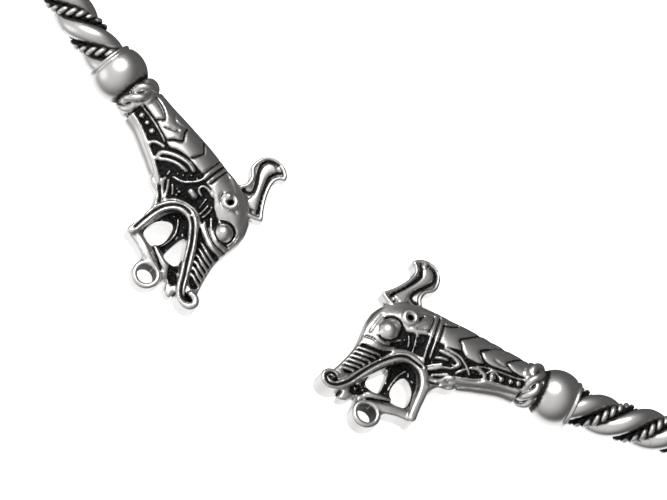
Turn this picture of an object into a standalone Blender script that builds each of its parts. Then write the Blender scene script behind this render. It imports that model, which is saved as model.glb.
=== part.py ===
"""A twisted silver neck ring whose two ends are cast beast heads with scrolled jaws and crests.

Two thick wires and two fine two-ply cords are twisted together into the rod. The rod ends in
the hollow backs of two cast terminals: a ball, a plaited collar, a carved neck and a head.
"""

import math

import bmesh
import bpy
from mathutils import Matrix, Vector

# The ring, in metres: a back half circle and two front arcs that run to the balls
BALL_SPAN = 0.05425
FRONT_RADIUS = 0.0627
SPLAY = math.radians(14.5)
FRONT_SHIFT = BALL_SPAN / 2 - FRONT_RADIUS * math.sin(SPLAY)
CENTRE_Y = FRONT_RADIUS * math.cos(SPLAY)
BACK_RADIUS = FRONT_SHIFT + FRONT_RADIUS
FRONT_ARC = FRONT_RADIUS * (math.pi / 2 - SPLAY)
BACK_ARC = math.pi * BACK_RADIUS
AXIS_LENGTH = 2 * FRONT_ARC + BACK_ARC

# The twisted rod
ROD_DIAMETER = 0.0043
TWIST_PITCH = 0.009887
FIRST_CREST = 0.0051
WIRE_DIAMETER = 0.0018
CORD_DIAMETER = 0.0009
CORD_SINK = 0.00008
STATIONS_A_TURN = 5
WIRE_SIDES = 5
CORD_SIDES = 3

# The ball and the hollow in its back that holds the rod
BALL_DIAMETER = 0.0057
SOCKET_CLEARANCE = 0.0002
SOCKET_DEPTH = 0.0009
SOCKET_WALL = 0.0003
SOCKET_FACE = 0.00185
ROD_END_GAP = 0.0003
TURNED_SIDES = 24
BALL_PROFILE = range(118, 28, -10)

# The plaited collar behind the ball
COLLAR_START = 0.0020
COLLAR_END = 0.0039
COLLAR_DIAMETER = 0.0048
PLAIT_TURNS = 7
PLAIT_WIRE = 0.00085
PLAIT_STATIONS = 4
PLAIT_LAP = 1.15
PLAIT_BULGE = 0.12
CORE_START = COLLAR_START * 0.88

# The head, drawn in millimetres from the ball's centre: u forward, w to the crest, z to a face
HEAD_REACH = 0.0233
DRAWN_REACH = 23.3
STEP = HEAD_REACH / DRAWN_REACH
VOXEL = 0.1 * STEP
TERMINAL_TRIANGLES = 1800

# How each hand-bent head sits on the ring: yaw, roll and pitch in degrees
LEFT_SET = (15.3, 2.1, -2.6)
RIGHT_SET = (13.6, -6.5, 3.8)

SILVER = ("polished_silver", (0.74, 0.72, 0.69, 1.0), 0.26)
DARK_SILVER = ("oxidised_silver", (0.30, 0.29, 0.28, 1.0), 0.42)
UP = Vector((0, 0, 1))
SEAM = 0.00001

# Outlines and paths of the head
PLATE_EDGE = [
    (12.4, 1.6), (14.5, 2.6), (17.4, 2.5), (19.3, 1.3), (20.1, -0.3), (20.8, -2.3), (20.8, -4.2),
    (21.5, -6.1), (22.2, -7.9), (22.9, -9.2), (22.2, -10.1), (20.9, -9.7), (20.9, -10.6),
    (20.1, -10.4), (19.3, -9.6), (19.1, -11.2), (17.7, -12.2), (16.4, -11.2), (16.0, -10.0),
    (14.4, -9.6), (13.4, -9.8), (12.95, -8.6), (12.6, -6.5), (11.7, -5.1), (10.2, -4.2),
]
BACK_HOLE = [
    (14.15, -7.3), (14.5, -6.1), (15.3, -5.5), (16.0, -6.1), (16.3, -7.4), (16.0, -8.5),
    (15.1, -8.8), (14.3, -8.4),
]
FRONT_HOLE = [
    (17.2, -5.4), (18.0, -6.1), (18.8, -7.3), (18.7, -8.2), (17.9, -8.45), (17.3, -8.2),
]
PLATE_HALF = 0.95
PLATE_ROUND = 0.3
JAW_RING = (17.75, -10.95)
JAW_RING_RADIUS = 1.18
JAW_RING_WIRE = 0.32
JAW_RING_LEVEL = 0.62
JAW_HOLE_RADIUS = 0.9

# The neck and cheek: u, w and half height at each place, flattened towards the head
NECK_LINE = [
    (3.4, -0.25, 2.35), (6.0, -0.3, 2.55), (9.0, -0.6, 3.15), (11.6, -0.85, 3.6),
    (14.2, -0.35, 3.05), (17.2, -0.3, 2.85), (19.0, -1.2, 1.9), (19.9, -1.9, 1.0),
]
NECK_FULLNESS = 0.76
NECK_TAPER = 0.023

LIP_LINE = [
    (13.4, -9.5, 1.0), (13.4, -7.5, 1.15), (13.7, -5.4, 1.3), (14.5, -4.1, 1.4),
    (15.7, -3.7, 1.4), (17.2, -4.6, 1.35), (18.8, -6.6, 1.25), (20.3, -8.7, 1.1),
    (21.4, -9.8, 1.0), (22.5, -10.0, 1.0), (23.0, -9.2, 1.0), (22.4, -8.6, 1.0),
]
LIP_RADIUS = 0.5
JAW_LINE = [(13.9, -9.4, 0.75), (15.6, -9.5, 0.8), (17.3, -9.75, 0.8), (18.6, -10.1, 0.75)]
TONGUE_LINE = [
    (15.2, -5.0, 0.75), (16.2, -5.9, 0.75), (16.6, -7.2, 0.75), (16.5, -8.5, 0.7),
    (17.9, -9.0, 0.7), (19.4, -8.6, 0.8),
]
JAW_RADIUS = 0.38

CREST_EDGE = [
    (16.2, 2.2), (16.4, 3.4), (16.0, 4.1), (15.35, 4.8), (15.25, 5.7), (15.6, 6.7), (16.6, 7.35),
    (17.7, 7.25), (18.6, 6.55), (18.1, 6.0), (18.15, 5.0), (18.8, 3.85), (19.6, 2.85),
    (20.4, 1.9), (19.5, 1.3), (18.6, 1.0),
]
CREST_HALF = 0.62
CREST_ROUND = 0.2
CREST_RIM_RADIUS = 0.24
CREST_RIM_LIFT = 0.12
CREST_PANEL = [
    (18.0, 2.3), (17.6, 3.6), (16.6, 4.9), (16.3, 5.9), (16.9, 6.5), (17.3, 5.6), (17.8, 4.4),
    (18.8, 2.9),
]
CREST_PANEL_LIFT = 0.25
CREST_PANEL_ROUND = 0.15

EYE = (19.0, -2.05, 1.15)
EYE_RADIUS = 1.0
EAR = (17.0, 0.4, 1.6)
EAR_RADIUS = 0.68
EAR_WIRE = 0.3
EAR_POINTS = 8

CHEVRON_EDGES = [
    [(4.2, 1.35), (6.0, 1.1), (6.1, 0.3), (5.6, -0.25), (4.2, -0.25)],
    [(6.6, 1.4), (8.3, 1.3), (8.8, 0.5), (8.1, -0.45), (6.2, -0.35), (6.7, 0.4)],
    [(9.0, 1.6), (10.8, 1.6), (11.2, 0.7), (10.7, -0.3), (8.9, -0.6), (9.4, 0.5)],
    [(11.4, 1.8), (12.8, 1.8), (12.8, -0.2), (11.5, -0.2), (11.8, 0.8)],
    [(14.7, 1.7), (16.1, 1.5), (16.0, -0.1), (14.8, 0.1)],
]
PLATE_LIFT = 0.16
SCALE_HALF = 0.3
SCALE_ROUND = 0.2

# Raised strands on each face: a radius in millimetres and the places they run through
STRANDS = [
    (0.22, [(4.2, -1.9), (7.0, -2.1), (9.3, -2.9), (11.3, -4.0), (12.9, -5.5)]),
    (0.22, [(4.2, -2.3), (7.0, -2.6), (9.6, -3.45), (11.5, -4.4), (12.9, -6.2)]),
    (0.12, [(4.2, -0.7), (6.4, -0.75), (8.2, -1.0)]),
    (0.34, [(8.9, -2.3), (9.6, -1.5), (10.9, -0.8), (12.4, -0.7)]),
    (0.26, [(9.4, -2.7), (10.4, -1.9), (11.9, -1.4)]),
    (0.3, [(7.4, -2.4), (7.8, -1.8), (8.6, -1.6)]),
    (0.2, [(11.2, -3.4), (12.6, -4.9)]),
    (0.2, [(11.7, -3.1), (13.0, -4.3)]),
    (0.2, [(17.2, -2.4), (18.2, -3.2), (19.4, -3.4), (20.5, -3.1)]),
    (0.24, [(17.3, -3.2), (18.3, -3.9), (19.4, -4.1), (20.6, -3.9)]),
    (0.2, [(15.4, -1.3), (15.7, -2.6)]),
    (0.2, [(16.2, -1.6), (16.4, -2.8)]),
    (0.55, [(14.3, -1.1), (14.3, -2.1)]),
]
BAND_PLACES = (13.45, 14.15)
BAND_WIRE = 0.2
BAND_TILT = 0.25
BAND_START = -2.6
BAND_STEP = 0.75
BAND_POINTS = 7
BAND_TOP = ((2.45, 1.0), (2.65, 0.0))
PEARLS = (4.8, 5.7, 6.7)
PEARL_LINE = -1.3
PEARL_RADIUS = 0.36
PEARL_SIDES = 8
SNOUT_RIBS = 5
SNOUT_FIRST = (19.9, -4.7)
SNOUT_STEP = (0.28, -0.62)
RIB_HALF = 0.8
RIB_WIRE = 0.19
RIB_LEVELS = (1.0, 1.05, 0.6)


def material_of(finish):
    name, colour, roughness = finish
    material = bpy.data.materials.new(name)
    material.use_nodes = True
    shader = material.node_tree.nodes["Principled BSDF"]
    shader.inputs["Base Color"].default_value = colour
    shader.inputs["Roughness"].default_value = roughness
    shader.inputs["Metallic"].default_value = 1.0
    return material


def along_ring(distance):
    """The rod's axis this far from the left ball's centre, and the direction into the ring."""
    side, travelled = -1, distance
    if distance > AXIS_LENGTH / 2:
        side, travelled = 1, AXIS_LENGTH - distance
    if travelled < FRONT_ARC:
        centre = Vector((side * FRONT_SHIFT, CENTRE_Y, 0))
        radius = FRONT_RADIUS
        turn = math.pi / 2 - SPLAY - travelled / FRONT_RADIUS
    else:
        centre = Vector((0, CENTRE_Y, 0))
        radius = BACK_RADIUS
        turn = -(travelled - FRONT_ARC) / BACK_RADIUS
    outward = Vector((side * math.cos(turn), -math.sin(turn), 0))
    return centre + outward * radius, -outward


def wire_section(name, sides, radius, guides):
    """The many-sided outline that a wire is swept from."""
    curve = bpy.data.curves.new(name, "CURVE")
    spline = curve.splines.new("POLY")
    spline.points.add(sides - 1)
    spline.use_cyclic_u = True
    for index, point in enumerate(spline.points):
        angle = math.tau * index / sides
        point.co = (radius * math.cos(angle), radius * math.sin(angle), 0, 1)
    section = bpy.data.objects.new(name, curve)
    section.hide_render = True
    guides.objects.link(section)
    return section


def twisted_wire(name, section, offset, quarter, material):
    """A wire that winds round the rod's axis at this offset, a quarter turn or more on."""
    start = SOCKET_FACE - SOCKET_DEPTH + ROD_END_GAP + WIRE_DIAMETER / 2
    length = AXIS_LENGTH - 2 * start
    stations = round(length / TWIST_PITCH * STATIONS_A_TURN)
    curve = bpy.data.curves.new(name, "CURVE")
    curve.dimensions = "3D"
    curve.bevel_mode = "OBJECT"
    curve.bevel_object = section
    curve.use_fill_caps = True
    spline = curve.splines.new("POLY")
    spline.points.add(stations)
    for index, point in enumerate(spline.points):
        distance = start + length * index / stations
        angle = math.pi / 2 * (1 + quarter) + math.tau * (distance - FIRST_CREST) / TWIST_PITCH
        centre, inward = along_ring(distance)
        place = centre + (inward * math.cos(angle) + UP * math.sin(angle)) * offset
        point.co = (*place, 1)
    mesh = mesh_of_curve(curve)
    mesh.name = name
    mesh.shade_smooth()
    mesh.materials.clear()
    mesh.materials.append(material)
    return bpy.data.objects.new(name, mesh)


def mesh_of_curve(curve):
    """The curve's own surface as a mesh, with its caps sewn on."""
    guide = bpy.data.objects.new("guide", curve)
    bpy.context.scene.collection.objects.link(guide)
    bpy.context.view_layer.update()
    mesh = bpy.data.meshes.new_from_object(guide.evaluated_get(bpy.context.evaluated_depsgraph_get()))
    bpy.data.objects.remove(guide)
    bpy.data.curves.remove(curve)
    shape = bmesh.new()
    shape.from_mesh(mesh)
    bmesh.ops.remove_doubles(shape, verts=shape.verts, dist=SEAM)
    face_outwards(shape)
    shape.to_mesh(mesh)
    shape.free()
    return mesh


def face_outwards(shape):
    """Every face of the closed shape turned to its outside."""
    bmesh.ops.recalc_face_normals(shape, faces=shape.faces)
    if shape.calc_volume(signed=True) < 0:
        bmesh.ops.reverse_faces(shape, faces=shape.faces)


def smooth_spline(curve, places, closed):
    """A spline that runs through the places, each of which may carry its own radius."""
    spline = curve.splines.new("BEZIER")
    spline.bezier_points.add(len(places) - 1)
    spline.use_cyclic_u = closed
    for point, (place, radius) in zip(spline.bezier_points, places):
        point.co = Vector(place) * STEP
        point.radius = radius
        point.handle_left_type = "AUTO"
        point.handle_right_type = "AUTO"


def tube(places, radius=1.0, closed=False):
    """A round strand; places are u, w, z and, where the radius varies, the radius there."""
    curve = bpy.data.curves.new("tube", "CURVE")
    curve.dimensions = "3D"
    curve.resolution_u = 5
    curve.bevel_depth = radius * STEP
    curve.bevel_resolution = 2
    curve.use_fill_caps = True
    radii = [place[3] if len(place) > 3 else 1.0 for place in places]
    smooth_spline(curve, list(zip([place[:3] for place in places], radii)), closed)
    return mesh_of_curve(curve)


def plate(edges, half, rounding):
    """A flat plate about z = 0, with holes where a later edge lies inside the first."""
    curve = bpy.data.curves.new("plate", "CURVE")
    curve.dimensions = "2D"
    curve.fill_mode = "BOTH"
    curve.resolution_u = 4
    curve.extrude = (half - rounding) * STEP
    curve.bevel_depth = rounding * STEP
    curve.bevel_resolution = 1
    curve.offset = -rounding * STEP
    for edge in edges:
        smooth_spline(curve, [((u, w, 0), 1.0) for u, w in edge], True)
    return mesh_of_curve(curve)


def circle(place, radius, count=10):
    """Points round a circle of the drawing."""
    angles = [math.tau * index / count for index in range(count)]
    return [(place[0] + radius * math.cos(a), place[1] + radius * math.sin(a)) for a in angles]


def ball(place, radius, segments=16):
    shape = bmesh.new()
    bmesh.ops.create_uvsphere(shape, u_segments=segments, v_segments=segments // 2, radius=radius * STEP)
    mesh = bpy.data.meshes.new("ball")
    shape.to_mesh(mesh)
    shape.free()
    mesh.transform(Matrix.Translation(Vector(place) * STEP))
    return mesh


def neck_height(u, w):
    """How far the carved neck's face stands from the middle plane at this place."""
    line = NECK_LINE
    for (u0, w0, half0), (u1, w1, half1) in zip(line, line[1:]):
        if u0 <= u <= u1:
            share = (u - u0) / (u1 - u0)
            middle, half = w0 + (w1 - w0) * share, half0 + (half1 - half0) * share
            inside = max(0.0, 1 - ((w - middle) / half) ** 2)
            return max(PLATE_HALF, half * fullness(u) * math.sqrt(inside))
    return PLATE_HALF


def fullness(u):
    """The neck's thickness as a share of its height."""
    return NECK_FULLNESS - NECK_TAPER * (u - NECK_LINE[0][0])


def neck():
    mesh = tube([(u, w, 0, half) for u, w, half in NECK_LINE])
    for vertex in mesh.vertices:
        vertex.co.z *= fullness(vertex.co.x / STEP)
    return mesh


def carved_strand(radius, places):
    """A strand that lies on the carved face, half sunk in it."""
    return tube([(u, w, neck_height(u, w), 1.0) for u, w in places], radius)


def neck_plate(edge):
    """A low scale that follows the neck's flank, flattened from a blank of 1 mm each way."""
    mesh = plate([edge], 1.0, SCALE_ROUND)
    for vertex in mesh.vertices:
        u, w = vertex.co.x / STEP, vertex.co.y / STEP
        lifted = neck_height(u, w) + PLATE_LIFT
        vertex.co.z = vertex.co.z * SCALE_HALF + (lifted - SCALE_HALF) * STEP
    return mesh


def band(u):
    """A raised band that runs from the back of the neck down its flank."""
    flank = [BAND_START + BAND_STEP * index for index in range(BAND_POINTS)]
    places = [(u - BAND_TILT * max(0, -w), w, neck_height(u, w), 1.0) for w in flank]
    over = [(u, w, z, 1.0) for w, z in BAND_TOP]
    return tube(places + over, BAND_WIRE)


def snout_rib(index):
    u = SNOUT_FIRST[0] + SNOUT_STEP[0] * index
    w = SNOUT_FIRST[1] + SNOUT_STEP[1] * index
    reaches = (u - RIB_HALF, u, u + RIB_HALF)
    return tube([(reach, w, level) for reach, level in zip(reaches, RIB_LEVELS)], RIB_WIRE)


def turned_core():
    """The ball, its socket rim and the collar's core, turned about the u axis."""
    radius = BALL_DIAMETER / 2
    rim = ROD_DIAMETER / 2 + SOCKET_CLEARANCE + SOCKET_WALL
    core = COLLAR_DIAMETER / 2 - PLAIT_WIRE / 2
    lip = SOCKET_WALL / 2
    profile = [(-SOCKET_FACE, 0), (-SOCKET_FACE, rim - lip), (-SOCKET_FACE + lip, rim)]
    profile.append((-SOCKET_FACE + 2 * lip, rim - lip / 2))
    for degrees in BALL_PROFILE:
        angle = math.radians(degrees)
        profile.append((radius * math.cos(angle), radius * math.sin(angle)))
    profile.extend([(CORE_START, core), (COLLAR_END + PLAIT_WIRE / 2, core)])
    profile.append((COLLAR_END + PLAIT_WIRE / 2, 0))
    shape = bmesh.new()
    corners = [shape.verts.new((u, 0, r)) for u, r in profile]
    for first, second in zip(corners, corners[1:]):
        shape.edges.new((first, second))
    bmesh.ops.spin(
        shape, geom=shape.verts[:] + shape.edges[:], axis=(1, 0, 0), cent=(0, 0, 0),
        angle=math.tau, steps=TURNED_SIDES, use_merge=True,
    )
    bmesh.ops.remove_doubles(shape, verts=shape.verts, dist=SEAM)
    face_outwards(shape)
    mesh = bpy.data.meshes.new("turned_core")
    shape.to_mesh(mesh)
    shape.free()
    return mesh


def plait_wire(index):
    """One slanting loop of the plaited collar; its slant winds the way the rod does."""
    wire = PLAIT_WIRE / 2 / STEP
    seat = COLLAR_DIAMETER / 2 / STEP - wire
    first, last = COLLAR_START / STEP + wire, COLLAR_END / STEP - wire
    places = []
    for step in range(PLAIT_STATIONS + 1):
        share = step / PLAIT_STATIONS
        angle = math.tau * index / PLAIT_TURNS - math.tau / PLAIT_TURNS * PLAIT_LAP * share
        lift = seat + PLAIT_BULGE * math.sin(math.pi * share)
        place = (first + (last - first) * share, lift * math.cos(angle), lift * math.sin(angle))
        places.append(place + (1.0,))
    return tube(places, wire)


def casting():
    """The whole terminal's pieces, overlapping, as one mesh; most stand on both faces."""
    jaw_ring = [(u, w, JAW_RING_LEVEL, 1.0) for u, w in circle(JAW_RING, JAW_RING_RADIUS)]
    ear_ring = [(u, w, EAR[2], 1.0) for u, w in circle(EAR, EAR_RADIUS, EAR_POINTS)]
    rim = [(u, w, CREST_HALF + CREST_RIM_LIFT, 1.0) for u, w in CREST_EDGE]
    centred = [
        turned_core(),
        neck(),
        plate([PLATE_EDGE, BACK_HOLE, FRONT_HOLE, circle(JAW_RING, JAW_HOLE_RADIUS)],
              PLATE_HALF, PLATE_ROUND),
        plate([CREST_EDGE], CREST_HALF, CREST_ROUND),
    ]
    centred += [plait_wire(index) for index in range(PLAIT_TURNS)]
    faced = [
        tube(LIP_LINE, LIP_RADIUS),
        tube(JAW_LINE, JAW_RADIUS),
        tube(TONGUE_LINE, JAW_RADIUS),
        tube(jaw_ring, JAW_RING_WIRE, closed=True),
        tube(ear_ring, EAR_WIRE, closed=True),
        tube(rim, CREST_RIM_RADIUS, closed=True),
        ball(EYE, EYE_RADIUS),
    ]
    centred.append(plate([CREST_PANEL], CREST_HALF + CREST_PANEL_LIFT, CREST_PANEL_ROUND))
    faced += [neck_plate(edge) for edge in CHEVRON_EDGES]
    faced += [carved_strand(radius, places) for radius, places in STRANDS]
    faced += [band(u) for u in BAND_PLACES]
    faced += [ball((u, PEARL_LINE, neck_height(u, PEARL_LINE)), PEARL_RADIUS, PEARL_SIDES)
              for u in PEARLS]
    faced += [snout_rib(index) for index in range(SNOUT_RIBS)]
    whole = bmesh.new()
    for mesh in centred + faced:
        whole.from_mesh(mesh)
    for mesh in faced:
        mesh.transform(Matrix.Scale(-1, 4, (0, 0, 1)))
        mesh.flip_normals()
        whole.from_mesh(mesh)
    mesh = bpy.data.meshes.new("casting")
    whole.to_mesh(mesh)
    whole.free()
    for piece in centred + faced:
        bpy.data.meshes.remove(piece)
    return mesh


def fused(mesh):
    """The overlapping pieces made one skin of few faces."""
    helper = bpy.data.objects.new("casting", mesh)
    bpy.context.scene.collection.objects.link(helper)
    remesh = helper.modifiers.new("skin", "REMESH")
    remesh.mode = "VOXEL"
    remesh.voxel_size = VOXEL
    bpy.context.view_layer.update()
    skin = helper.evaluated_get(bpy.context.evaluated_depsgraph_get())
    faces = len(skin.data.polygons)
    decimate = helper.modifiers.new("few_faces", "DECIMATE")
    decimate.ratio = TERMINAL_TRIANGLES / (2 * faces)
    bpy.context.view_layer.update()
    result = bpy.data.meshes.new_from_object(helper.evaluated_get(bpy.context.evaluated_depsgraph_get()))
    bpy.data.objects.remove(helper)
    result.shade_smooth()
    return result


def socket_cutter():
    """The hollow that the rod's end sits in."""
    reach = SOCKET_DEPTH + SOCKET_WALL
    shape = bmesh.new()
    hollow = ROD_DIAMETER / 2 + SOCKET_CLEARANCE
    bmesh.ops.create_cone(
        shape, cap_ends=True, segments=TURNED_SIDES, radius1=hollow, radius2=hollow, depth=reach,
    )
    mesh = bpy.data.meshes.new("socket")
    shape.to_mesh(mesh)
    shape.free()
    middle = -SOCKET_FACE + SOCKET_DEPTH - reach / 2
    mesh.transform(Matrix.Translation((middle, 0, 0)) @ Matrix.Rotation(math.pi / 2, 4, "Y"))
    return mesh


def head_matrix(side, setting):
    """The terminal's place: its ball on the rod's end, its crest to the ring's middle."""
    yaw, roll, pitch = (math.radians(value) for value in setting)
    forward = Vector((-side * math.cos(yaw) * math.cos(pitch),
                      -math.sin(yaw) * math.cos(pitch), math.sin(pitch)))
    level = Vector((-side * math.sin(yaw), math.cos(yaw), 0))
    level = (level - forward * level.dot(forward)).normalized()
    face = forward.cross(level) * -side
    crest = level * math.cos(roll) + face * math.sin(roll)
    under = forward.cross(crest)
    matrix = Matrix((forward, crest, under)).transposed().to_4x4()
    matrix.translation = Vector((side * BALL_SPAN / 2, 0, 0))
    return matrix


def bounds_of(objects):
    """The lowest and highest corner of the objects as they are drawn."""
    graph = bpy.context.evaluated_depsgraph_get()
    corners = []
    for item in objects:
        mesh = item.evaluated_get(graph).to_mesh()
        corners += [item.matrix_world @ vertex.co for vertex in mesh.vertices]
        item.evaluated_get(graph).to_mesh_clear()
    low = Vector(min(corner[axis] for corner in corners) for axis in range(3))
    high = Vector(max(corner[axis] for corner in corners) for axis in range(3))
    return low, high


def main():
    for item in list(bpy.data.objects):
        bpy.data.objects.remove(item)
    torc = bpy.data.collections.new("torc")
    cutters = bpy.data.collections.new("cutters")
    bpy.context.scene.collection.children.link(torc)
    bpy.context.scene.collection.children.link(cutters)
    root = bpy.data.objects.new("root", None)
    torc.objects.link(root)
    silver = material_of(SILVER)
    dark = material_of(DARK_SILVER)

    wire_section_guide = wire_section("wire_section", WIRE_SIDES, WIRE_DIAMETER / 2, cutters)
    cord_section_guide = wire_section("cord_section", CORD_SIDES, CORD_DIAMETER / 2, cutters)
    wire_offset = (ROD_DIAMETER - WIRE_DIAMETER) / 2
    cord_offset = (ROD_DIAMETER - CORD_DIAMETER) / 2 - CORD_SINK
    pieces = [
        twisted_wire("wire_1", wire_section_guide, wire_offset, 0, silver),
        twisted_wire("wire_2", wire_section_guide, wire_offset, 2, silver),
        twisted_wire("cord_1", cord_section_guide, cord_offset, 1, dark),
        twisted_wire("cord_2", cord_section_guide, cord_offset, 3, dark),
    ]

    skin = fused(casting())
    skin.materials.clear()
    skin.materials.append(silver)
    hollow = socket_cutter()
    for name, side, setting in (("terminal_left", -1, LEFT_SET), ("terminal_right", 1, RIGHT_SET)):
        terminal = bpy.data.objects.new(name, skin)
        terminal.matrix_world = head_matrix(side, setting)
        cutter = bpy.data.objects.new(f"socket_{name}", hollow)
        cutter.matrix_world = terminal.matrix_world
        cutter.display_type = "WIRE"
        cutter.hide_render = True
        cutter.parent = root
        cutters.objects.link(cutter)
        cut = terminal.modifiers.new("socket", "BOOLEAN")
        cut.operation = "DIFFERENCE"
        cut.object = cutter
        pieces.append(terminal)

    for piece in pieces:
        piece.parent = root
        torc.objects.link(piece)
    bpy.context.view_layer.update()
    low, high = bounds_of(pieces)
    root.location = (-(low.x + high.x) / 2, -(low.y + high.y) / 2, -low.z)
    bpy.context.view_layer.update()


main()
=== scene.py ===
"""A twisted silver neck ring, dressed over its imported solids.

Two thick wires and two fine cords are wound into the rod, and a cast beast head holds each end.
The head is modelled like wax: forms are melted together in a block of distances, each face is
carved with a relief drawn as the face is seen, and the skin of the block becomes the mesh.
"""

import math

import bpy
import numpy as np
from bpy.props import FloatProperty, FloatVectorProperty, IntProperty, PointerProperty
from mathutils import Matrix, Vector


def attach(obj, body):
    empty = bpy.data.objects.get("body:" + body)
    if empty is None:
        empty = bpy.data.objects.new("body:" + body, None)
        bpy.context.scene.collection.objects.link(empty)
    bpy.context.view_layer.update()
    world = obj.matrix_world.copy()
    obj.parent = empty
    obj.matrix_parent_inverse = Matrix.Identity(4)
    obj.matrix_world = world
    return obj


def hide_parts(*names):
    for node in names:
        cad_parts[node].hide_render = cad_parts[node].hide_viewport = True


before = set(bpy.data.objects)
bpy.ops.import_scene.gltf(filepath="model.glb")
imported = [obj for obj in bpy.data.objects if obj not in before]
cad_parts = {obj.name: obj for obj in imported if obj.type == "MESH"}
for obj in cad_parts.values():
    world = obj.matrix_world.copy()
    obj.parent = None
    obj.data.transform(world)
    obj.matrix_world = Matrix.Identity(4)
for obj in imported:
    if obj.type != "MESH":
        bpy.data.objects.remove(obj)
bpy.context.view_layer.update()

bl_info = {
    "name": "Twisted Neck Ring",
    "version": (1, 0, 0),
    "blender": (4, 5, 0),
    "location": "View3D > Sidebar > Neck Ring",
    "description": "Makes a twisted silver neck ring with a cast beast head at each end",
    "category": "Add Mesh",
}

FAR = 9.0
TINY = 1e-9
UP = (0.0, 0.0, 1.0)

# The head's drawing is in millimetres from the ball's centre: u runs forward to the snout,
# w to the crest and z to a face. A face's relief is drawn where it is seen from the photograph's
# side, on the level SEEN_LEVEL, and slides by SEEN_SLIDE for each millimetre above it.
DRAWN_REACH = 23.3
SEEN_LEVEL = 1.5
SEEN_SLIDE = (-0.1, 0.4)

# Ball, socket and collar
BALL_CLIP = (-1.85, 2.1)
RIM_GROOVE = (-1.42, 2.52, 0.15)
SOCKET_RADIUS = 2.13
FLANGE = (-1.7, 0.15, 2.47)
FLANGE_ROUND = 0.1
SOCKET_FLOOR = -0.95
CORE = (4.3, 1.95)
NECK_START = 4.05
PLAIT_CENTRE = (2.98, 1.82)
PLAIT_SWING = (0.52, 0.27)
PLAIT_RADIUS = 0.42
PLAIT_LUMPS = 7
PLAIT_LAPS = 2
PLAIT_STEPS = 24
PLAIT_JOIN = 0.06

# How softly forms melt together, how far from each its distances are worked out, and the step,
# edge rounding and least sizes of a swept form
JOIN = 0.1
NECK_JOIN = 0.2
SNOUT_JOIN = 0.4
LEAF_JOIN = 0.05
TUBE_REACH = 0.5
SWEEP_REACH = 0.6
EDGE_REACH = 1.2
CARVED_REACH = 0.9
CURVE_STEP = 0.15
SWEEP_ROUND = 0.28
THINNEST = 0.1
LEAST_SLOPE = 0.05

# Swept forms: u, w, half width and half height along each
NECK = [
    (3.6, -0.25, 2.4, 1.85), (6.0, -0.3, 2.55, 1.9), (9.0, -0.6, 3.1, 2.0), (11.6, -0.85, 3.5, 2.0),
    (14.2, -0.4, 3.0, 1.8), (17.0, -0.3, 2.7, 1.6), (18.6, -0.9, 2.0, 1.4), (19.3, -1.6, 1.5, 1.2),
]
SNOUT = [
    (18.9, -2.2, 1.9, 1.4), (19.3, -3.6, 1.6, 1.4), (19.85, -5.0, 1.2, 1.3), (20.5, -6.4, 0.95, 1.2),
    (21.2, -7.6, 0.75, 1.1), (21.8, -8.6, 0.6, 1.1),
]
LIP = [
    (13.4, -9.4, 0.45, 1.5), (13.4, -8.2, 0.47, 1.55), (13.3, -7.0, 0.48, 1.6), (13.3, -6.0, 0.5, 1.65),
    (13.55, -5.1, 0.5, 1.7), (14.05, -4.3, 0.5, 1.75), (14.8, -3.85, 0.5, 1.8), (15.55, -3.7, 0.52, 1.8),
    (16.3, -3.9, 0.5, 1.8), (17.05, -4.45, 0.5, 1.75), (17.8, -5.15, 0.5, 1.7), (18.55, -6.05, 0.5, 1.65),
    (19.3, -7.0, 0.5, 1.6), (20.0, -7.95, 0.48, 1.55), (20.7, -8.9, 0.46, 1.55), (21.4, -9.6, 0.42, 1.55),
    (22.2, -9.85, 0.4, 1.55), (22.85, -9.6, 0.4, 1.55), (23.0, -9.05, 0.38, 1.5),
    (22.6, -8.65, 0.36, 1.5), (22.0, -8.7, 0.34, 1.5),
]
JAW = [
    (13.6, -9.3, 0.5, 1.2), (14.8, -9.35, 0.5, 1.2), (16.0, -9.6, 0.5, 1.2), (17.2, -9.8, 0.42, 1.15),
    (18.3, -9.95, 0.35, 1.1),
]
TONGUE = [
    (15.3, -5.0, 0.34, 0.95), (15.95, -5.6, 0.34, 1.0), (16.4, -6.5, 0.34, 1.05),
    (16.6, -7.5, 0.34, 1.05), (16.45, -8.3, 0.36, 1.05),
]
PALATE = [
    (16.2, -8.55, 0.34, 1.15), (17.2, -8.85, 0.36, 1.2), (18.3, -8.9, 0.36, 1.2),
    (19.4, -8.55, 0.34, 1.2),
]
JAW_RING = (17.75, -10.95)
JAW_RING_RADII = (1.2, 1.2)
JAW_RING_HALF = 0.29
JAW_RING_BORE = 0.93
JAW_RING_TOP = 1.15
JAW_RING_POINTS = 16

# Flat forms: an outline and its holes, then half thickness, rounding of the edge and join
PLATE_EDGE = [
    (12.4, 1.6), (14.5, 2.4), (17.4, 2.2), (19.3, 1.2), (20.1, -0.3), (20.75, -2.2), (20.8, -4.2),
    (21.4, -6.0), (22.1, -7.6), (22.7, -8.8), (22.2, -9.9), (20.9, -9.7), (20.9, -10.6), (20.1, -10.5),
    (19.3, -9.6), (19.0, -11.0), (17.75, -12.1), (16.5, -11.1), (16.0, -10.1), (14.4, -9.7), (13.4, -9.7),
    (13.1, -8.6), (12.8, -6.5), (11.9, -5.0), (10.2, -3.9),
]
BACK_HOLE = [
    (14.05, -7.4), (14.35, -6.3), (15.2, -5.6), (16.0, -6.1), (16.3, -7.2), (16.1, -8.3), (15.6, -8.7),
    (14.3, -8.5),
]
FRONT_HOLE = [
    (17.15, -5.5), (18.0, -6.1), (18.75, -7.2), (18.8, -8.0), (18.2, -8.35), (17.3, -8.3), (17.05, -7.0),
]
RING_HOLE = (0.9, 1.05)
PLATE = (0.95, 0.25, 0.3)
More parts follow.
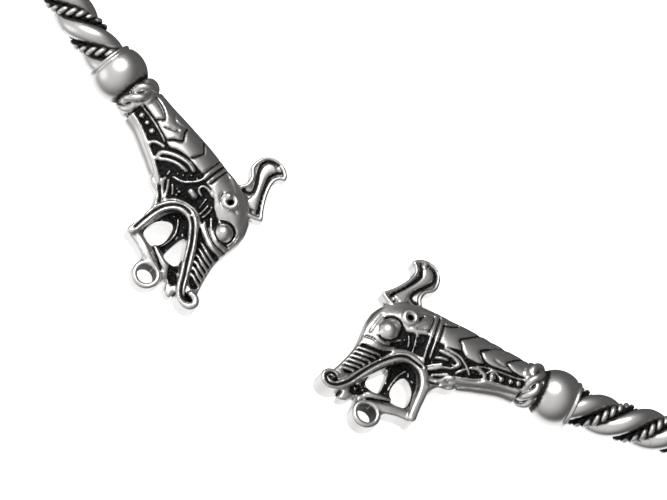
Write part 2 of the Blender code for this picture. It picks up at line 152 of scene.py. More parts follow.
CREST_EDGE = [
    (16.2, 2.3), (16.4, 3.2), (16.15, 3.95), (15.45, 4.55), (15.2, 5.35), (15.35, 6.3), (15.95, 7.05),
    (16.85, 7.4), (17.75, 7.3), (18.4, 6.9), (18.55, 6.5), (18.2, 6.2), (18.0, 5.6), (18.25, 4.8),
    (18.8, 3.85), (19.5, 2.95), (20.35, 2.0), (19.8, 1.5), (18.9, 1.0), (17.5, 1.2),
]
CREST_PANEL = [
    (17.9, 2.0), (17.7, 3.2), (17.15, 4.1), (16.45, 4.9), (16.1, 5.7), (16.2, 6.4), (16.75, 6.7),
    (17.35, 6.35), (17.15, 5.6), (17.4, 4.9), (18.0, 4.0), (18.7, 3.1), (19.2, 2.3), (18.6, 1.9),
]
CREST_LEAF = [(18.7, 1.1, 0.1, 1.0), (19.4, 1.45, 0.24, 1.0), (20.3, 1.95, 0.12, 0.9)]
CREST_FLOOR = (0.6, 0.15, 0.2)
CREST_RIM_HALF = 0.21
CREST_RIM = (0.95, 0.2, 0.05)
CREST_TOP = (0.86, 0.1, 0.05)

# The relief of each face: sunk grounds, raised strands and bumps, and cut lines. A strand or a
# cut is its radius, its level against the form, and its places; a bump is u, w, radius, level.
SHEET_ENDS = ((-3.0, -13.5), (24.5, 8.5))
CLAY_ENDS = ((-2.4, -13.2, -3.3), (24.2, 8.2, 3.35))
GROUND_DEPTH = 0.42
GROUND_SLOPE = 0.14
GROUND_REACH = 0.6
STROKE_REACH = 0.1
STRAND_FULLNESS = 2.6
LAST_CELL = 1.001
LEFT_GROUNDS = [
    [(4.1, -0.5), (6.1, -0.55), (8.3, -0.9), (9.0, -1.0), (9.6, -0.6), (10.3, -0.3), (11.2, -0.1),
     (13.2, -0.1), (13.9, -0.35), (14.9, -0.3), (15.7, -0.65), (16.5, -1.3), (17.4, -1.75), (17.9, -1.9),
     (18.3, -2.8), (17.6, -3.2), (16.9, -3.4), (15.8, -3.0), (14.6, -3.25), (13.5, -3.9), (13.05, -4.6),
     (12.8, -5.2), (12.2, -4.9), (11.2, -4.0), (10.2, -3.55), (9.0, -3.05), (7.4, -2.5), (6.0, -2.1),
     (4.1, -1.85)],
    [(17.0, -3.7), (18.2, -4.25), (19.6, -4.35), (20.9, -4.3), (21.0, -5.2), (21.5, -6.6), (22.0, -7.9),
     (21.6, -8.5), (20.9, -8.2), (20.0, -7.0), (19.0, -5.8), (18.0, -4.8)],
    [(14.1, -6.9), (14.3, -5.5), (14.9, -4.6), (15.7, -4.3), (16.6, -4.7), (17.6, -5.6), (18.4, -6.6),
     (19.1, -7.6), (19.6, -8.7), (20.3, -9.3), (20.2, -9.9), (19.5, -9.9), (18.9, -9.4), (18.0, -8.6),
     (16.2, -8.6), (14.2, -8.9)],
]
LEFT_STRANDS = [
    (0.3, 0.1, [(4.1, -2.02), (5.0, -2.1), (6.0, -2.3), (7.0, -2.6), (8.0, -2.95), (9.2, -3.35),
     (10.3, -3.85), (11.2, -4.4), (12.0, -5.05), (12.5, -5.5), (12.75, -6.1)]),
    (0.11, 0.0, [(4.1, -0.66), (6.0, -0.72), (7.5, -0.92), (8.3, -1.15)]),
    (0.24, 0.02, [(7.45, -2.6), (7.55, -2.1), (7.95, -1.75), (8.6, -1.5)]),
    (0.28, 0.05, [(9.1, -2.75), (8.9, -2.35), (9.0, -1.95), (9.45, -1.5), (10.1, -1.03), (10.9, -0.66),
     (11.6, -0.5), (12.3, -0.6)]),
    (0.24, 0.02, [(9.35, -2.7), (9.75, -2.2), (10.3, -1.75), (11.0, -1.4), (11.9, -1.2)]),
    (0.2, 0.02, [(11.2, -3.4), (11.3, -3.85), (12.0, -4.5), (12.6, -4.95)]),
    (0.18, 0.02, [(11.6, -3.3), (12.2, -4.0), (12.8, -4.75)]),
    (0.16, -0.02, [(12.2, -3.3), (12.6, -3.6), (12.95, -3.95)]),
    (0.17, 0.08, [(13.45, 2.1), (13.45, 1.0), (13.5, 0.3), (13.55, -0.4), (13.4, -1.0), (13.05, -1.6),
     (12.7, -2.1), (12.2, -2.45), (11.7, -2.65)]),
    (0.14, 0.06, [(14.1, 2.1), (14.1, 1.0), (14.1, 0.0), (14.05, -0.3)]),
    (0.2, -0.05, [(15.5, -0.75), (14.8, -0.62), (14.2, -0.78), (14.05, -1.2), (14.3, -1.52),
     (14.8, -1.62)]),
    (0.1, -0.02, [(15.35, -1.35), (15.5, -2.0), (15.7, -2.7)]),
    (0.13, -0.02, [(16.0, -1.75), (16.1, -2.3), (16.2, -2.9)]),
    (0.15, -0.02, [(16.5, -1.75), (16.6, -2.4), (16.6, -3.0)]),
    (0.17, 0.05, [(17.2, -2.35), (17.7, -2.75), (18.3, -3.15), (18.9, -3.32), (20.6, -3.2)]),
    (0.2, 0.05, [(17.1, -3.05), (17.7, -3.6), (18.4, -3.95), (19.3, -4.05), (20.9, -3.95)]),
    (0.14, -0.05, [(15.3, -5.1), (15.8, -5.55), (16.3, -6.2), (16.5, -7.0), (16.55, -7.9)]),
    (0.1, -0.15, [(14.4, -6.3), (14.9, -5.8), (15.5, -5.95), (15.9, -6.4), (16.1, -7.0)]),
    (0.42, 0.05, [(13.85, -2.2), (14.4, -2.25)]),
]
CREST_CUTS = [
    (0.17, 0.3, [(17.0, 6.75), (16.35, 6.5), (15.95, 6.1), (15.85, 5.55), (16.05, 4.95), (16.5, 4.35),
     (17.0, 3.75), (17.4, 3.15), (17.55, 2.6), (17.3, 2.3), (16.8, 2.15)]),
    (0.17, 0.3, [(17.7, 6.3), (17.5, 6.0), (17.35, 5.55), (17.4, 5.05), (17.75, 4.3), (18.25, 3.5),
     (18.85, 2.7), (19.3, 2.1), (19.5, 1.8)]),
]
LEFT_CUTS = [
    (0.4, 0.45, [(22.1, -9.45), (22.2, -9.35)]),
    (0.1, 0.3, [(4.2, 1.0), (5.2, 0.95), (5.9, 0.75), (6.5, 0.35), (6.2, -0.1), (6.0, -0.45)]),
    (0.12, 0.3, [(4.1, -0.42), (6.1, -0.48), (7.0, -0.66), (8.3, -0.86)]),
    (0.08, 0.25, [(7.1, -0.2), (7.6, 0.2), (8.25, 0.75)]),
    (0.12, 0.35, [(8.65, 1.5), (8.72, 1.2), (9.0, 0.8), (9.3, 0.45), (9.15, 0.2), (8.7, -0.2),
     (8.4, -0.7)]),
    (0.07, 0.2, [(6.5, 1.75), (6.9, 1.35), (7.2, 1.15), (7.6, 1.12), (8.1, 1.3), (8.6, 1.5), (9.0, 1.85),
     (10.0, 1.93), (10.8, 1.93)]),
    (0.11, 0.32, [(10.75, 1.95), (11.2, 1.6), (11.55, 1.3), (11.5, 1.0), (11.4, 0.6), (11.2, 0.0)]),
    (0.1, 0.3, [(13.18, 2.2), (13.18, 0.5), (13.2, -0.2)]),
    (0.13, 0.34, [(13.82, 2.2), (13.8, 0.5), (13.85, -0.4), (13.6, -1.2), (13.1, -2.0)]),
    (0.11, 0.32, [(14.38, 2.2), (14.38, 0.8), (14.42, -0.1)]),
    (0.1, 0.3, [(17.0, -2.75), (17.8, -3.3), (18.6, -3.62), (19.5, -3.72), (20.5, -3.6), (21.2, -3.6)]),
    (0.14, 0.34, [(13.35, -9.0), (13.25, -8.2), (13.2, -7.0), (13.25, -6.0), (13.45, -5.2), (13.9, -4.4),
     (14.5, -3.85), (15.1, -3.65), (15.6, -3.65)]),
    (0.15, 0.36, [(15.95, -3.78), (16.6, -4.15), (17.35, -4.8), (18.1, -5.6), (18.8, -6.5), (19.5, -7.4),
     (20.2, -8.2), (20.8, -9.0), (21.4, -9.55), (21.9, -9.7)]),
    (0.13, 0.3, [(16.0, -8.9), (17.0, -9.2), (17.7, -9.45), (18.3, -9.75)]),
    (0.06, 0.15, [(14.0, -9.5), (15.0, -9.65), (15.8, -10.05)]),
    (0.06, 0.15, [(17.0, -9.1), (18.2, -9.15), (19.2, -8.9)]),
    (0.26, 0.42, [(17.1, 0.25), (17.2, 0.5)]),
    (0.13, 0.34, [(18.0, -1.65), (18.35, -1.35), (18.95, -1.12), (19.55, -1.2), (20.0, -1.6),
     (20.15, -2.2), (20.1, -2.7)]),
    (0.12, 0.3, [(18.1, -2.4), (18.5, -2.85), (19.2, -3.08), (20.0, -2.95), (20.5, -2.9)]),
    (0.07, 0.2, [(20.2, -1.2), (20.5, -2.1), (20.7, -3.0)]),
    (0.09, 0.25, [(15.85, 0.35), (16.05, -0.1), (16.5, -0.42), (17.05, -0.45), (17.5, -0.15)]),
    (0.07, 0.2, [(17.8, 0.12), (18.3, 0.12)]),
    (0.06, 0.15, [(14.6, 1.85), (15.4, 1.7), (16.2, 1.42), (16.6, 1.3)]),
    (0.16, 0.35, [(11.5, -4.45), (12.0, -4.85), (12.4, -5.1), (12.75, -5.5)]),
]
LEFT_BUMPS = [
    (4.8, -1.3, 0.36, 0.12), (5.7, -1.35, 0.32, 0.1), (6.65, -1.5, 0.38, 0.12), (7.4, -1.45, 0.18, -0.1),
    (7.7, -1.35, 0.16, -0.1), (17.5, -2.2, 0.14, -0.05), (15.4, -2.9, 0.14, -0.1),
    (19.45, -10.8, 0.16, -0.1), (20.3, -10.5, 0.26, -0.1), (19.7, -9.9, 0.18, -0.2),
    (16.4, -4.9, 0.12, -0.2), (15.4, -4.7, 0.12, -0.25),
]
RIGHT_GROUNDS = [
    [(4.1, -0.45), (6.0, -0.6), (7.5, -0.75), (8.4, -0.7), (8.9, -0.95), (9.9, -1.0), (10.6, -0.8),
     (11.2, -0.55), (12.0, -0.7), (13.5, -0.75), (14.6, -0.5), (15.4, -0.75), (16.1, -0.95), (16.9, -1.15),
     (17.4, -0.75), (17.5, -1.9), (17.9, -2.7), (18.2, -3.1), (17.4, -3.4), (16.6, -3.1), (15.4, -2.95),
     (14.3, -3.1), (13.9, -3.9), (13.4, -4.4), (12.6, -4.5), (11.8, -4.1), (11.2, -3.5), (10.6, -3.4),
     (9.4, -3.1), (8.0, -2.4), (6.6, -2.1), (4.1, -1.55)],
    [(17.4, -3.7), (18.5, -4.2), (19.6, -4.3), (20.6, -4.4), (20.9, -5.2), (21.3, -6.6), (21.7, -7.7),
     (21.2, -8.2), (20.5, -7.8), (19.8, -6.8), (19.0, -5.8), (18.2, -4.8)],
    [(14.0, -6.9), (14.2, -5.6), (14.8, -4.7), (15.7, -4.35), (16.6, -4.6), (17.5, -5.4), (18.3, -6.3),
     (18.9, -7.3), (19.4, -8.4), (20.2, -9.3), (20.1, -9.9), (19.4, -9.9), (18.8, -9.4), (18.0, -8.7),
     (16.2, -8.7), (14.2, -8.9)],
]
RIGHT_STRANDS = [
    (0.3, 0.1, [(4.1, -1.85), (5.5, -2.1), (6.8, -2.35), (8.0, -2.6), (8.8, -2.95), (9.8, -3.3),
     (10.8, -3.65), (11.7, -4.3), (12.4, -5.0), (12.8, -5.8)]),
    (0.12, 0.0, [(4.2, -0.55), (5.0, -0.7), (6.0, -0.8), (7.2, -0.9), (8.0, -1.05), (9.0, -1.35)]),
    (0.24, 0.02, [(7.85, -2.35), (8.0, -1.85), (8.5, -1.62), (9.1, -1.65), (9.5, -1.8)]),
    (0.13, 0.0, [(6.6, -1.3), (7.0, -1.12), (7.5, -1.2), (7.8, -1.55)]),
    (0.17, 0.05, [(9.45, -2.55), (9.8, -2.1), (10.3, -1.65), (11.0, -1.2), (11.8, -1.05), (12.7, -1.0)]),
    (0.26, 0.03, [(11.1, -2.45), (10.75, -2.05), (11.1, -1.75), (11.6, -1.55), (12.3, -1.5),
     (13.0, -1.5)]),
    (0.2, -0.02, [(12.0, -2.12), (12.6, -2.18), (13.2, -2.4)]),
    (0.2, 0.0, [(10.1, -2.3), (10.4, -2.6), (10.75, -3.0)]),
    (0.18, 0.02, [(11.3, -2.75), (12.3, -3.1), (13.0, -3.6), (13.5, -3.95)]),
    (0.17, 0.02, [(12.4, -2.75), (13.0, -3.15), (13.7, -3.65)]),
    (0.2, 0.02, [(11.5, -3.5), (12.2, -3.9), (12.9, -4.25)]),
    (0.17, 0.1, [(13.78, 1.9), (13.8, 0.0), (13.8, -1.5), (13.75, -2.7)]),
    (0.17, 0.1, [(14.45, 2.1), (14.4, 1.0), (14.45, 0.0), (14.4, -1.2), (14.35, -2.5), (14.15, -3.3)]),
    (0.22, 0.1, [(14.8, 1.3), (15.2, 0.9), (15.7, 0.4), (16.1, 0.0)]),
    (0.14, 0.0, [(14.8, -0.2), (15.4, -0.45), (15.95, -0.75)]),
    (0.1, 0.0, [(15.82, -0.95), (15.7, -1.6), (15.55, -2.8)]),
    (0.14, -0.02, [(16.5, -1.5), (16.25, -2.1), (16.15, -2.6)]),
    (0.16, 0.05, [(17.1, -2.3), (17.7, -2.7), (18.2, -3.1), (18.9, -3.3), (19.5, -3.1)]),
    (0.19, 0.05, [(17.5, -3.3), (18.0, -3.7), (18.7, -3.88), (19.5, -3.8), (20.4, -3.75)]),
    (0.14, -0.05, [(15.5, -5.1), (16.0, -5.8), (16.4, -6.8), (16.6, -7.9)]),
]
RIGHT_CUTS = [
    (0.11, 0.3, [(4.1, 1.85), (4.8, 1.5), (5.6, 1.0), (6.25, 0.4), (5.8, 0.0), (5.2, -0.25),
     (4.1, -0.35)]),
    (0.08, 0.2, [(6.1, 0.0), (6.8, -0.07), (7.5, 0.12)]),
    (0.09, 0.25, [(6.5, 1.8), (7.1, 1.6), (7.7, 1.37), (8.4, 0.9)]),
    (0.06, 0.18, [(7.7, 1.4), (8.1, 1.8), (8.7, 2.05)]),
    (0.14, 0.35, [(8.4, 0.9), (9.15, 0.35), (9.0, 0.0), (8.7, -0.4), (8.2, -0.65), (7.5, -0.72),
     (6.0, -0.55), (4.1, -0.3)]),
    (0.12, 0.32, [(9.5, 2.0), (10.0, 1.7), (10.7, 1.15), (11.4, 0.65), (11.5, 0.4), (11.25, 0.0),
     (11.0, -0.5), (10.7, -0.8)]),
    (0.12, 0.3, [(12.0, 1.8), (12.6, 1.5), (13.4, 1.2)]),
    (0.12, 0.32, [(13.5, 1.3), (13.5, 0.0), (13.5, -2.7)]),
    (0.1, 0.32, [(14.08, 1.8), (14.12, 0.0), (14.05, -3.1)]),
    (0.1, 0.28, [(14.68, 1.6), (14.66, 0.6), (14.75, -0.2)]),
    (0.06, 0.2, [(14.75, 1.6), (15.5, 1.5), (16.3, 1.35)]),
    (0.13, 0.3, [(15.7, 1.15), (15.95, 0.85), (16.0, 0.55)]),
    (0.07, 0.22, [(14.8, 0.12), (15.4, -0.1), (16.0, -0.35)]),
    (0.08, 0.2, [(16.6, -0.52), (16.85, -0.55), (17.15, -0.45)]),
    (0.32, 0.42, [(16.95, 0.42), (17.0, 0.52)]),
    (0.14, 0.34, [(17.45, -0.85), (17.75, -0.5), (18.25, -0.3), (18.85, -0.45), (19.3, -0.8)]),
    (0.14, 0.34, [(17.45, -1.0), (17.35, -1.7), (17.6, -2.35), (18.1, -2.85), (18.7, -3.02),
     (19.3, -2.9)]),
    (0.06, 0.16, [(19.1, -0.6), (19.45, -1.5), (19.6, -2.5)]),
    (0.07, 0.22, [(19.6, -0.5), (19.95, -1.5), (20.3, -2.9)]),
    (0.09, 0.28, [(17.3, -2.9), (17.9, -3.4), (18.6, -3.6), (19.3, -3.5), (19.9, -3.35), (20.6, -3.45)]),
    (0.15, 0.36, [(14.2, -4.1), (14.6, -4.0), (15.2, -3.85), (16.0, -3.75), (16.9, -4.1), (17.7, -4.8),
     (18.5, -5.65), (19.25, -6.65), (19.95, -7.75), (20.55, -8.75), (21.1, -9.35), (21.7, -9.8),
     (22.5, -9.9), (22.9, -9.3), (22.5, -8.8), (21.95, -8.95), (21.85, -9.4)]),
    (0.13, 0.3, [(16.0, -9.0), (17.0, -9.25), (17.7, -9.5), (18.3, -9.75)]),
    (0.07, 0.2, [(7.9, -2.45), (8.4, -2.8), (9.0, -3.1), (9.8, -3.35), (10.7, -3.55)]),
    (0.1, 0.2, [(4.1, -2.35), (5.5, -2.6), (7.0, -3.0), (8.5, -3.5), (10.0, -4.15), (11.3, -4.95),
     (12.1, -5.7), (12.6, -6.5)]),
    (0.12, 0.3, [(11.9, -4.85), (12.4, -5.05), (13.1, -5.15)]),
    (0.07, 0.25, [(11.05, -4.2), (11.5, -4.15)]),
]
RIGHT_BUMPS = [
    (4.45, -1.1, 0.32, 0.12), (5.25, -1.3, 0.32, 0.12), (6.2, -1.5, 0.35, 0.12), (7.15, -1.7, 0.42, 0.14),
    (11.45, -2.35, 0.13, 0.0), (13.35, -1.15, 0.12, -0.05), (19.9, -10.1, 0.3, -0.08),
    (20.6, -11.1, 0.4, -0.05), (18.9, -10.2, 0.14, -0.15), (16.95, -5.35, 0.1, -0.2),
]
# A face's relief ends with the seed of its pebbles
LEFT_RELIEF = (LEFT_GROUNDS, LEFT_STRANDS, LEFT_CUTS + CREST_CUTS, LEFT_BUMPS, 3)
RIGHT_RELIEF = (RIGHT_GROUNDS, RIGHT_STRANDS, RIGHT_CUTS + CREST_CUTS, RIGHT_BUMPS, 4)

# The snout's ribs and the pebbles of the grounds, on both faces
RIBS = 6
RIB_FIRST = (19.7, -4.85)
RIB_STEP = (0.29, -0.55)
RIB_HALF = (1.15, 0.1)
RIB_SHRINK = 0.09
RIB_RADIUS = 0.2
RIB_LEVEL = 0.02
PEBBLE_FIELD = ((8.6, 22.5), (-11.8, 0.0))
PEBBLE_GAP = 0.34
PEBBLE_RADIUS = (0.1, 0.19)
PEBBLE_LEVEL = (-0.25, 0.02)
PEBBLE_GROUND = -0.88 * GROUND_DEPTH
SHADE_STEPS = 7
PILLOW = 0.45

# Round forms that stand off each face: u, w, z, radius
LEFT_EYE = (19.05, -2.15, 1.05, 1.02)
RIGHT_EYE = (18.55, -1.85, 1.0, 1.12)
EAR = (17.0, 0.35, 1.55)
EAR_RING = (0.62, 0.31)
EAR_POINTS = 12
EAR_JOIN = 0.12
EAR_LOBE = [(16.5, 0.5, 1.62, 0.44), (16.5, 0.5, 0.8, 0.44)]
EYE_REACH = 2.0

# Where the relief, the patina and the painted shade begin and are whole: along the neck, by how
# far a place faces sideways, by how shut in or sunk it is, and round the socket, the collar and the
# jaw's ring
NECK_CARVED = (3.8, 4.0)
FACE_SHARE = (-0.3, 0.3)
CARVED_FACING = (0.15, 0.55)
BLACK_FACING = (0.15, 0.45)
SHUT_STEPS = (2, 5)
SHUT_BLACK = (0.52, 0.7)
SUNK_BLACK = (0.07, 0.22)
# Painted shade: a soft darkening of the plain surface beside the grooves and sunk grounds, its strength
# and the limits where it begins and fades
PAINTED_SHADE_STRENGTH = 0.4
PAINTED_SHADE_DEPTHS = (0.02, 0.2)
PAINTED_SHADE_RISE = (-0.32, -0.12)
SOCKET_FADE = 0.3
SOCKET_SPARE = 0.05
COLLAR_BLACK = ((1.25, 2.1), (-2.15, -2.0))
BORE_BLACK = (-1.12, -1.0)
BORE_FADE = 0.4

# Each head's yaw, roll and pitch in degrees, as it was bent by hand
LEFT_SETTING = (15.3, 2.1, -2.6)
RIGHT_SETTING = (13.6, -6.5, 3.8)

# The rod's windings: piece, plies, first quarter turn, slot, and how many of its radii out from
# its middle each kind is bright and black
WINDINGS = {
    "wire": ("thick_wire", 1, 0, "silver_wire", (0.6, 0.1)),
    "cord": ("fine_cord", 2, 1, "fine_wire_cord", (1.9, 0.7)),
}
AXIS_STEP = 0.0008
WIRE_POINTS_A_TURN = 42
WIRE_SIDES = 18
PLY_POINTS_A_TURN = 11
PLY_SIDES = 8

# Each metal's added roughness, the scale of its grain and how unevenly its black is worn
METALS = {
    "wire_silver": (0.0, 2600.0, 1.8),
    "cord_silver": (0.08, 3200.0, 0.5),
    "cast_silver": (0.0, 2200.0, 1.0),
}
GRAIN = {"Detail": 4.0, "Roughness": 0.6}
CLOUD = {"Detail": 3.0, "Roughness": 0.5}
CLOUD_GRAINS = 6
CLOUD_TINT = 0.3
CLOUD_DARKENING = 0.82
CLOUD_ROUGHNESS = 0.1
BLACK_RANGE = (0.12, 0.8)
BLACK_ROUGHNESS = 0.3
BLACK_DULLING = 0.15
GRAIN_DEPTH = 0.00002
GRAIN_STRENGTH = 0.15

# The photograph's view: width of what it shows, and the picture's middle from the ring's
SHOWN_WIDTH = 0.0667
PICTURE_MIDDLE = (-0.000395, -0.00136)
VIEW_ELEVATION = math.radians(67.5)
VIEW_ROLL = math.radians(36.57)
LENS = 200.0
NEAREST = 0.01

# The sky's three sides: where each is, its limits along that way, and its strength there. The
# third is how far the second takes the first one's place.
SKY_COLOUR = (0.97, 0.98, 1.0, 1)
SKY_SIDES = (
    ((-0.55, -0.45, 0.7), (-0.2, 1.0, 0.14, 0.98)),
    ((0.0, -0.92, -0.38), (-0.2, 0.3, 0.12, 1.45)),
    ((0.0, 0.38, -0.92), (0.1, 0.6)),
)

# Each soft light's place from the ring's front, its width and its power
LIGHTS = {
    "key": ((-0.083, 0.047, 0.182), 0.15, 0.24),
    "side": ((-0.3, -0.25, 0.06), 0.25, 0.12),
}
FLOOR_HALF = 1.5
FLOOR_ROUGHNESS = 0.9
FLOOR_GLOW = 0.72
FLOOR_GLOW_COLOUR = (1, 0.985, 0.97, 1)


def length(name, default, description):
    return FloatProperty(name=name, description=description, default=default, unit="LENGTH")


def colour(name, default, description):
    return FloatVectorProperty(
        name=name, description=description, default=default, subtype="COLOR",
    )


class RingSizes(bpy.types.PropertyGroup):
    """The line that the rod follows"""

    ball_span: length("Ball span", 0.05425, "Distance between the centres of the two balls")
    front_radius: length("Front radius", 0.0627, "Radius of the two arcs that run to the balls")
    splay: FloatProperty(
        name="Splay", description="How far past the ring's side each front arc turns back",
        default=math.radians(14.5), subtype="ANGLE",
    )


class RodSizes(bpy.types.PropertyGroup):
    """The windings of the rod"""

    pitch: length("Twist pitch", 0.009887, "Length of one turn of the rod")
    first_crest: length("First crest", 0.00455, "Where the first wire first lies on top")
    start: length("Start", 0.0011, "Where the wires end inside the balls, from their centres")
    wire_radius: length("Wire radius", 0.00102, "Radius of each thick wire")
    wire_reach: length("Wire reach", 0.00104, "From the rod's axis to a thick wire's middle")
    cord_reach: length("Cord reach", 0.0015, "From the rod's axis to a fine cord's middle")
    ply_radius: length("Ply radius", 0.00028, "Radius of each ply of a fine cord")
    ply_pitch: length("Ply pitch", 0.0017, "Length of one turn of a cord's plies")


class HeadSizes(bpy.types.PropertyGroup):
    """The cast heads"""

    reach: length("Head reach", 0.0233, "From the ball's centre to the snout's curl")
    ball_radius: length("Ball radius", 0.00285, "Radius of the ball behind the collar")
    cell: length("Cell", 0.0001, "Step of the block that the head is modelled in")
    triangles: IntProperty(
        name="Triangles", description="Most triangles in each finished head", default=190000,
    )


class Finishes(bpy.types.PropertyGroup):
    """The colours and the polish"""

    silver: colour("Silver", (0.64, 0.622, 0.6), "Colour of the polished silver")
    oxide: colour("Oxide", (0.016, 0.015, 0.015), "Colour of the blackened recesses")
    floor: colour("Floor", (0.92, 0.92, 0.92), "Colour of the floor")
    polish: FloatProperty(
        name="Polish", description="Roughness of the polished silver", default=0.28,
    )


class Socket:
    """A node's output; arithmetic on it adds Math nodes."""

    def __init__(self, graph, output):
        self.graph = graph
        self.output = output

    def maths(self, operation, first, second):
        return self.graph.node("ShaderNodeMath", {"operation": operation}, {0: first, 1: second})

    def __add__(self, other):
        return self.maths("ADD", self, other)

    def __sub__(self, other):
        return self.maths("SUBTRACT", self, other)

    def __rsub__(self, other):
        return self.maths("SUBTRACT", other, self)

    def __mul__(self, other):
        return self.maths("MULTIPLY", self, other)

    def __truediv__(self, other):
        return self.maths("DIVIDE", self, other)

    __radd__ = __add__
    __rmul__ = __mul__


class Graph:
    """A node tree, and the one way that nodes are added to it."""

    def __init__(self, tree):
        self.tree = tree

    def node(self, kind, settings=None, inputs=None, output=0):
        made = self.tree.nodes.new(kind)
        for name, value in (settings or {}).items():
            setattr(made, name, value)
        for name, value in (inputs or {}).items():
            self.feed(made.inputs[name], value)
        return Socket(self, made.outputs[output]) if made.outputs else made

    def feed(self, socket, value):
        if isinstance(value, Socket):
            self.tree.links.new(value.output, socket)
        else:
            socket.default_value = value

    def vectors(self, operation, first, second=None, scale=None):
        inputs = {0: first}
        if second is not None:
            inputs[1] = second
        if scale is not None:
            inputs["Scale"] = scale
        return self.node("ShaderNodeVectorMath", {"operation": operation}, inputs)

    def measure(self, operation, first, second=None):
        """The number that a vector operation gives."""
        inputs = {0: first} if second is None else {0: first, 1: second}
        return self.node("ShaderNodeVectorMath", {"operation": operation}, inputs, "Value")

    def mixed(self, share, first, second):
        """Two colours mixed, each a node's or three numbers."""
        pair = [value if isinstance(value, Socket) else (*value, 1) for value in (first, second)]
        inputs = {0: share, 6: pair[0], 7: pair[1]}
        return self.node("ShaderNodeMix", {"data_type": "RGBA"}, inputs, 2)

    def spread(self, value, low, high, to_low=0.0, to_high=1.0):
        """The value eased from one pair of limits to another."""
        return self.node(
            "ShaderNodeMapRange", {"interpolation_type": "SMOOTHSTEP"},
            {"Value": value, "From Min": low, "From Max": high, "To Min": to_low, "To Max": to_high},
        )


class Block:
    """Values on an even block of places, in millimetres of the head's drawing."""

    def __init__(self, low, high, cell, start):
        self.cell = cell
        self.axes = [np.arange(a, b, cell, dtype=np.float32) for a, b in zip(low, high)]
        self.values = np.full([len(axis) for axis in self.axes], start, np.float32)

    def cut(self, low, high):
        """The part of the block between two corners."""
        parts = []
        for axis, a, b in zip(self.axes, low, high):
            first = int(np.clip((a - axis[0]) / self.cell, 0, len(axis) - 1))
            last = int(np.clip((b - axis[0]) / self.cell + 2, first + 1, len(axis)))
            parts.append(slice(first, last))
        return tuple(parts)

    def places(self, part):
        return np.ix_(*(axis[run] for axis, run in zip(self.axes, part)))

    def stroke(self, path, reach):
        """How far outside a path's radius each near place is, and the path's columns there."""
        count = len(self.axes)
        whole = self.cut(path[:, :count].min(0) - reach, path[:, :count].max(0) + reach)
        shape = self.values[whole].shape
        gap = np.full(shape, FAR, np.float32)
        carried = np.zeros((path.shape[1] - count, *shape), np.float32)
        for start, end in zip(path, path[1:]):
            along = (end - start)[:count]
            ends = np.stack([start[:count], end[:count]])
            near = self.cut(ends.min(0) - reach, ends.max(0) + reach)
            inner = tuple(slice(a.start - b.start, a.stop - b.start) for a, b in zip(near, whole))
            places = self.places(near)
            share = sum((x - a) * b for x, a, b in zip(places, start, along))
            share = np.clip(share / max(along @ along, TINY), 0, 1)
            distance = sum((x - a - share * b) ** 2 for x, a, b in zip(places, start, along))
            rows = [start[k] + share * (end[k] - start[k]) for k in range(count, path.shape[1])]
            here = np.sqrt(distance) - rows[0]
            better = here < gap[inner]
            gap[inner] = np.where(better, here, gap[inner])
            for column, row in zip(carried, rows):
                column[inner] = np.where(better, row, column[inner])
        return whole, gap, carried

    def region(self, edge, reach):
        """Signed distance to a closed outline over the whole flat block, negative inside."""
        path = smooth([(u, w, 0.0) for u, w in edge], closed=True)
        part, gap, _ = self.stroke(path, reach)
        distance = np.full(self.values.shape, reach, np.float32)
        distance[part] = np.minimum(gap, reach)
        u, w = np.ix_(*self.axes)
        inside = np.zeros(self.values.shape, bool)
        for (u0, w0, _), (u1, w1, _) in zip(path, path[1:]):
            if w0 != w1:
                crossed = ((w0 > w) != (w1 > w)) & (u < (u1 - u0) * (w - w0) / (w1 - w0) + u0)
                inside ^= crossed
        return np.where(inside, -distance, distance)


def smooth(places, closed=False):
    """Places close together on a smooth curve through the given ones."""
    points = np.array(places, float)
    if closed:
        ring = np.vstack([points[-1:], points, points[:2]])
    else:
        ring = np.vstack([2 * points[:1] - points[1:2], points, 2 * points[-1:] - points[-2:-1]])
    runs = []
    for before, start, end, after in zip(ring, ring[1:], ring[2:], ring[3:]):
        count = max(1, math.ceil(np.linalg.norm((end - start)[:2]) / CURVE_STEP))
        t = np.arange(count)[:, None] / count
        bend = 2 * before - 5 * start + 4 * end - after
        turn = 3 * start - before - 3 * end + after
        runs.append(start + ((end - before) * t + bend * t**2 + turn * t**3) / 2)
    runs.append(points[:1] if closed else points[-1:])
    return np.vstack(runs)


def melted(first, second, blend):
    """Two forms made one, with a soft join this wide."""
    lap = np.maximum(blend - np.abs(first - second), 0)
    return np.minimum(first, second) - lap * lap / (4 * blend)


def rounded(side, top, rounding):
    """A form's distance from how far a place is outside its side and above its top."""
    a, b = side + rounding, top + rounding
    return np.hypot(np.maximum(a, 0), np.maximum(b, 0)) + np.minimum(np.maximum(a, b), 0) - rounding


def eased(value, low, high):
    share = np.clip((value - low) / (high - low), 0, 1)
    return share * share * (3 - 2 * share)


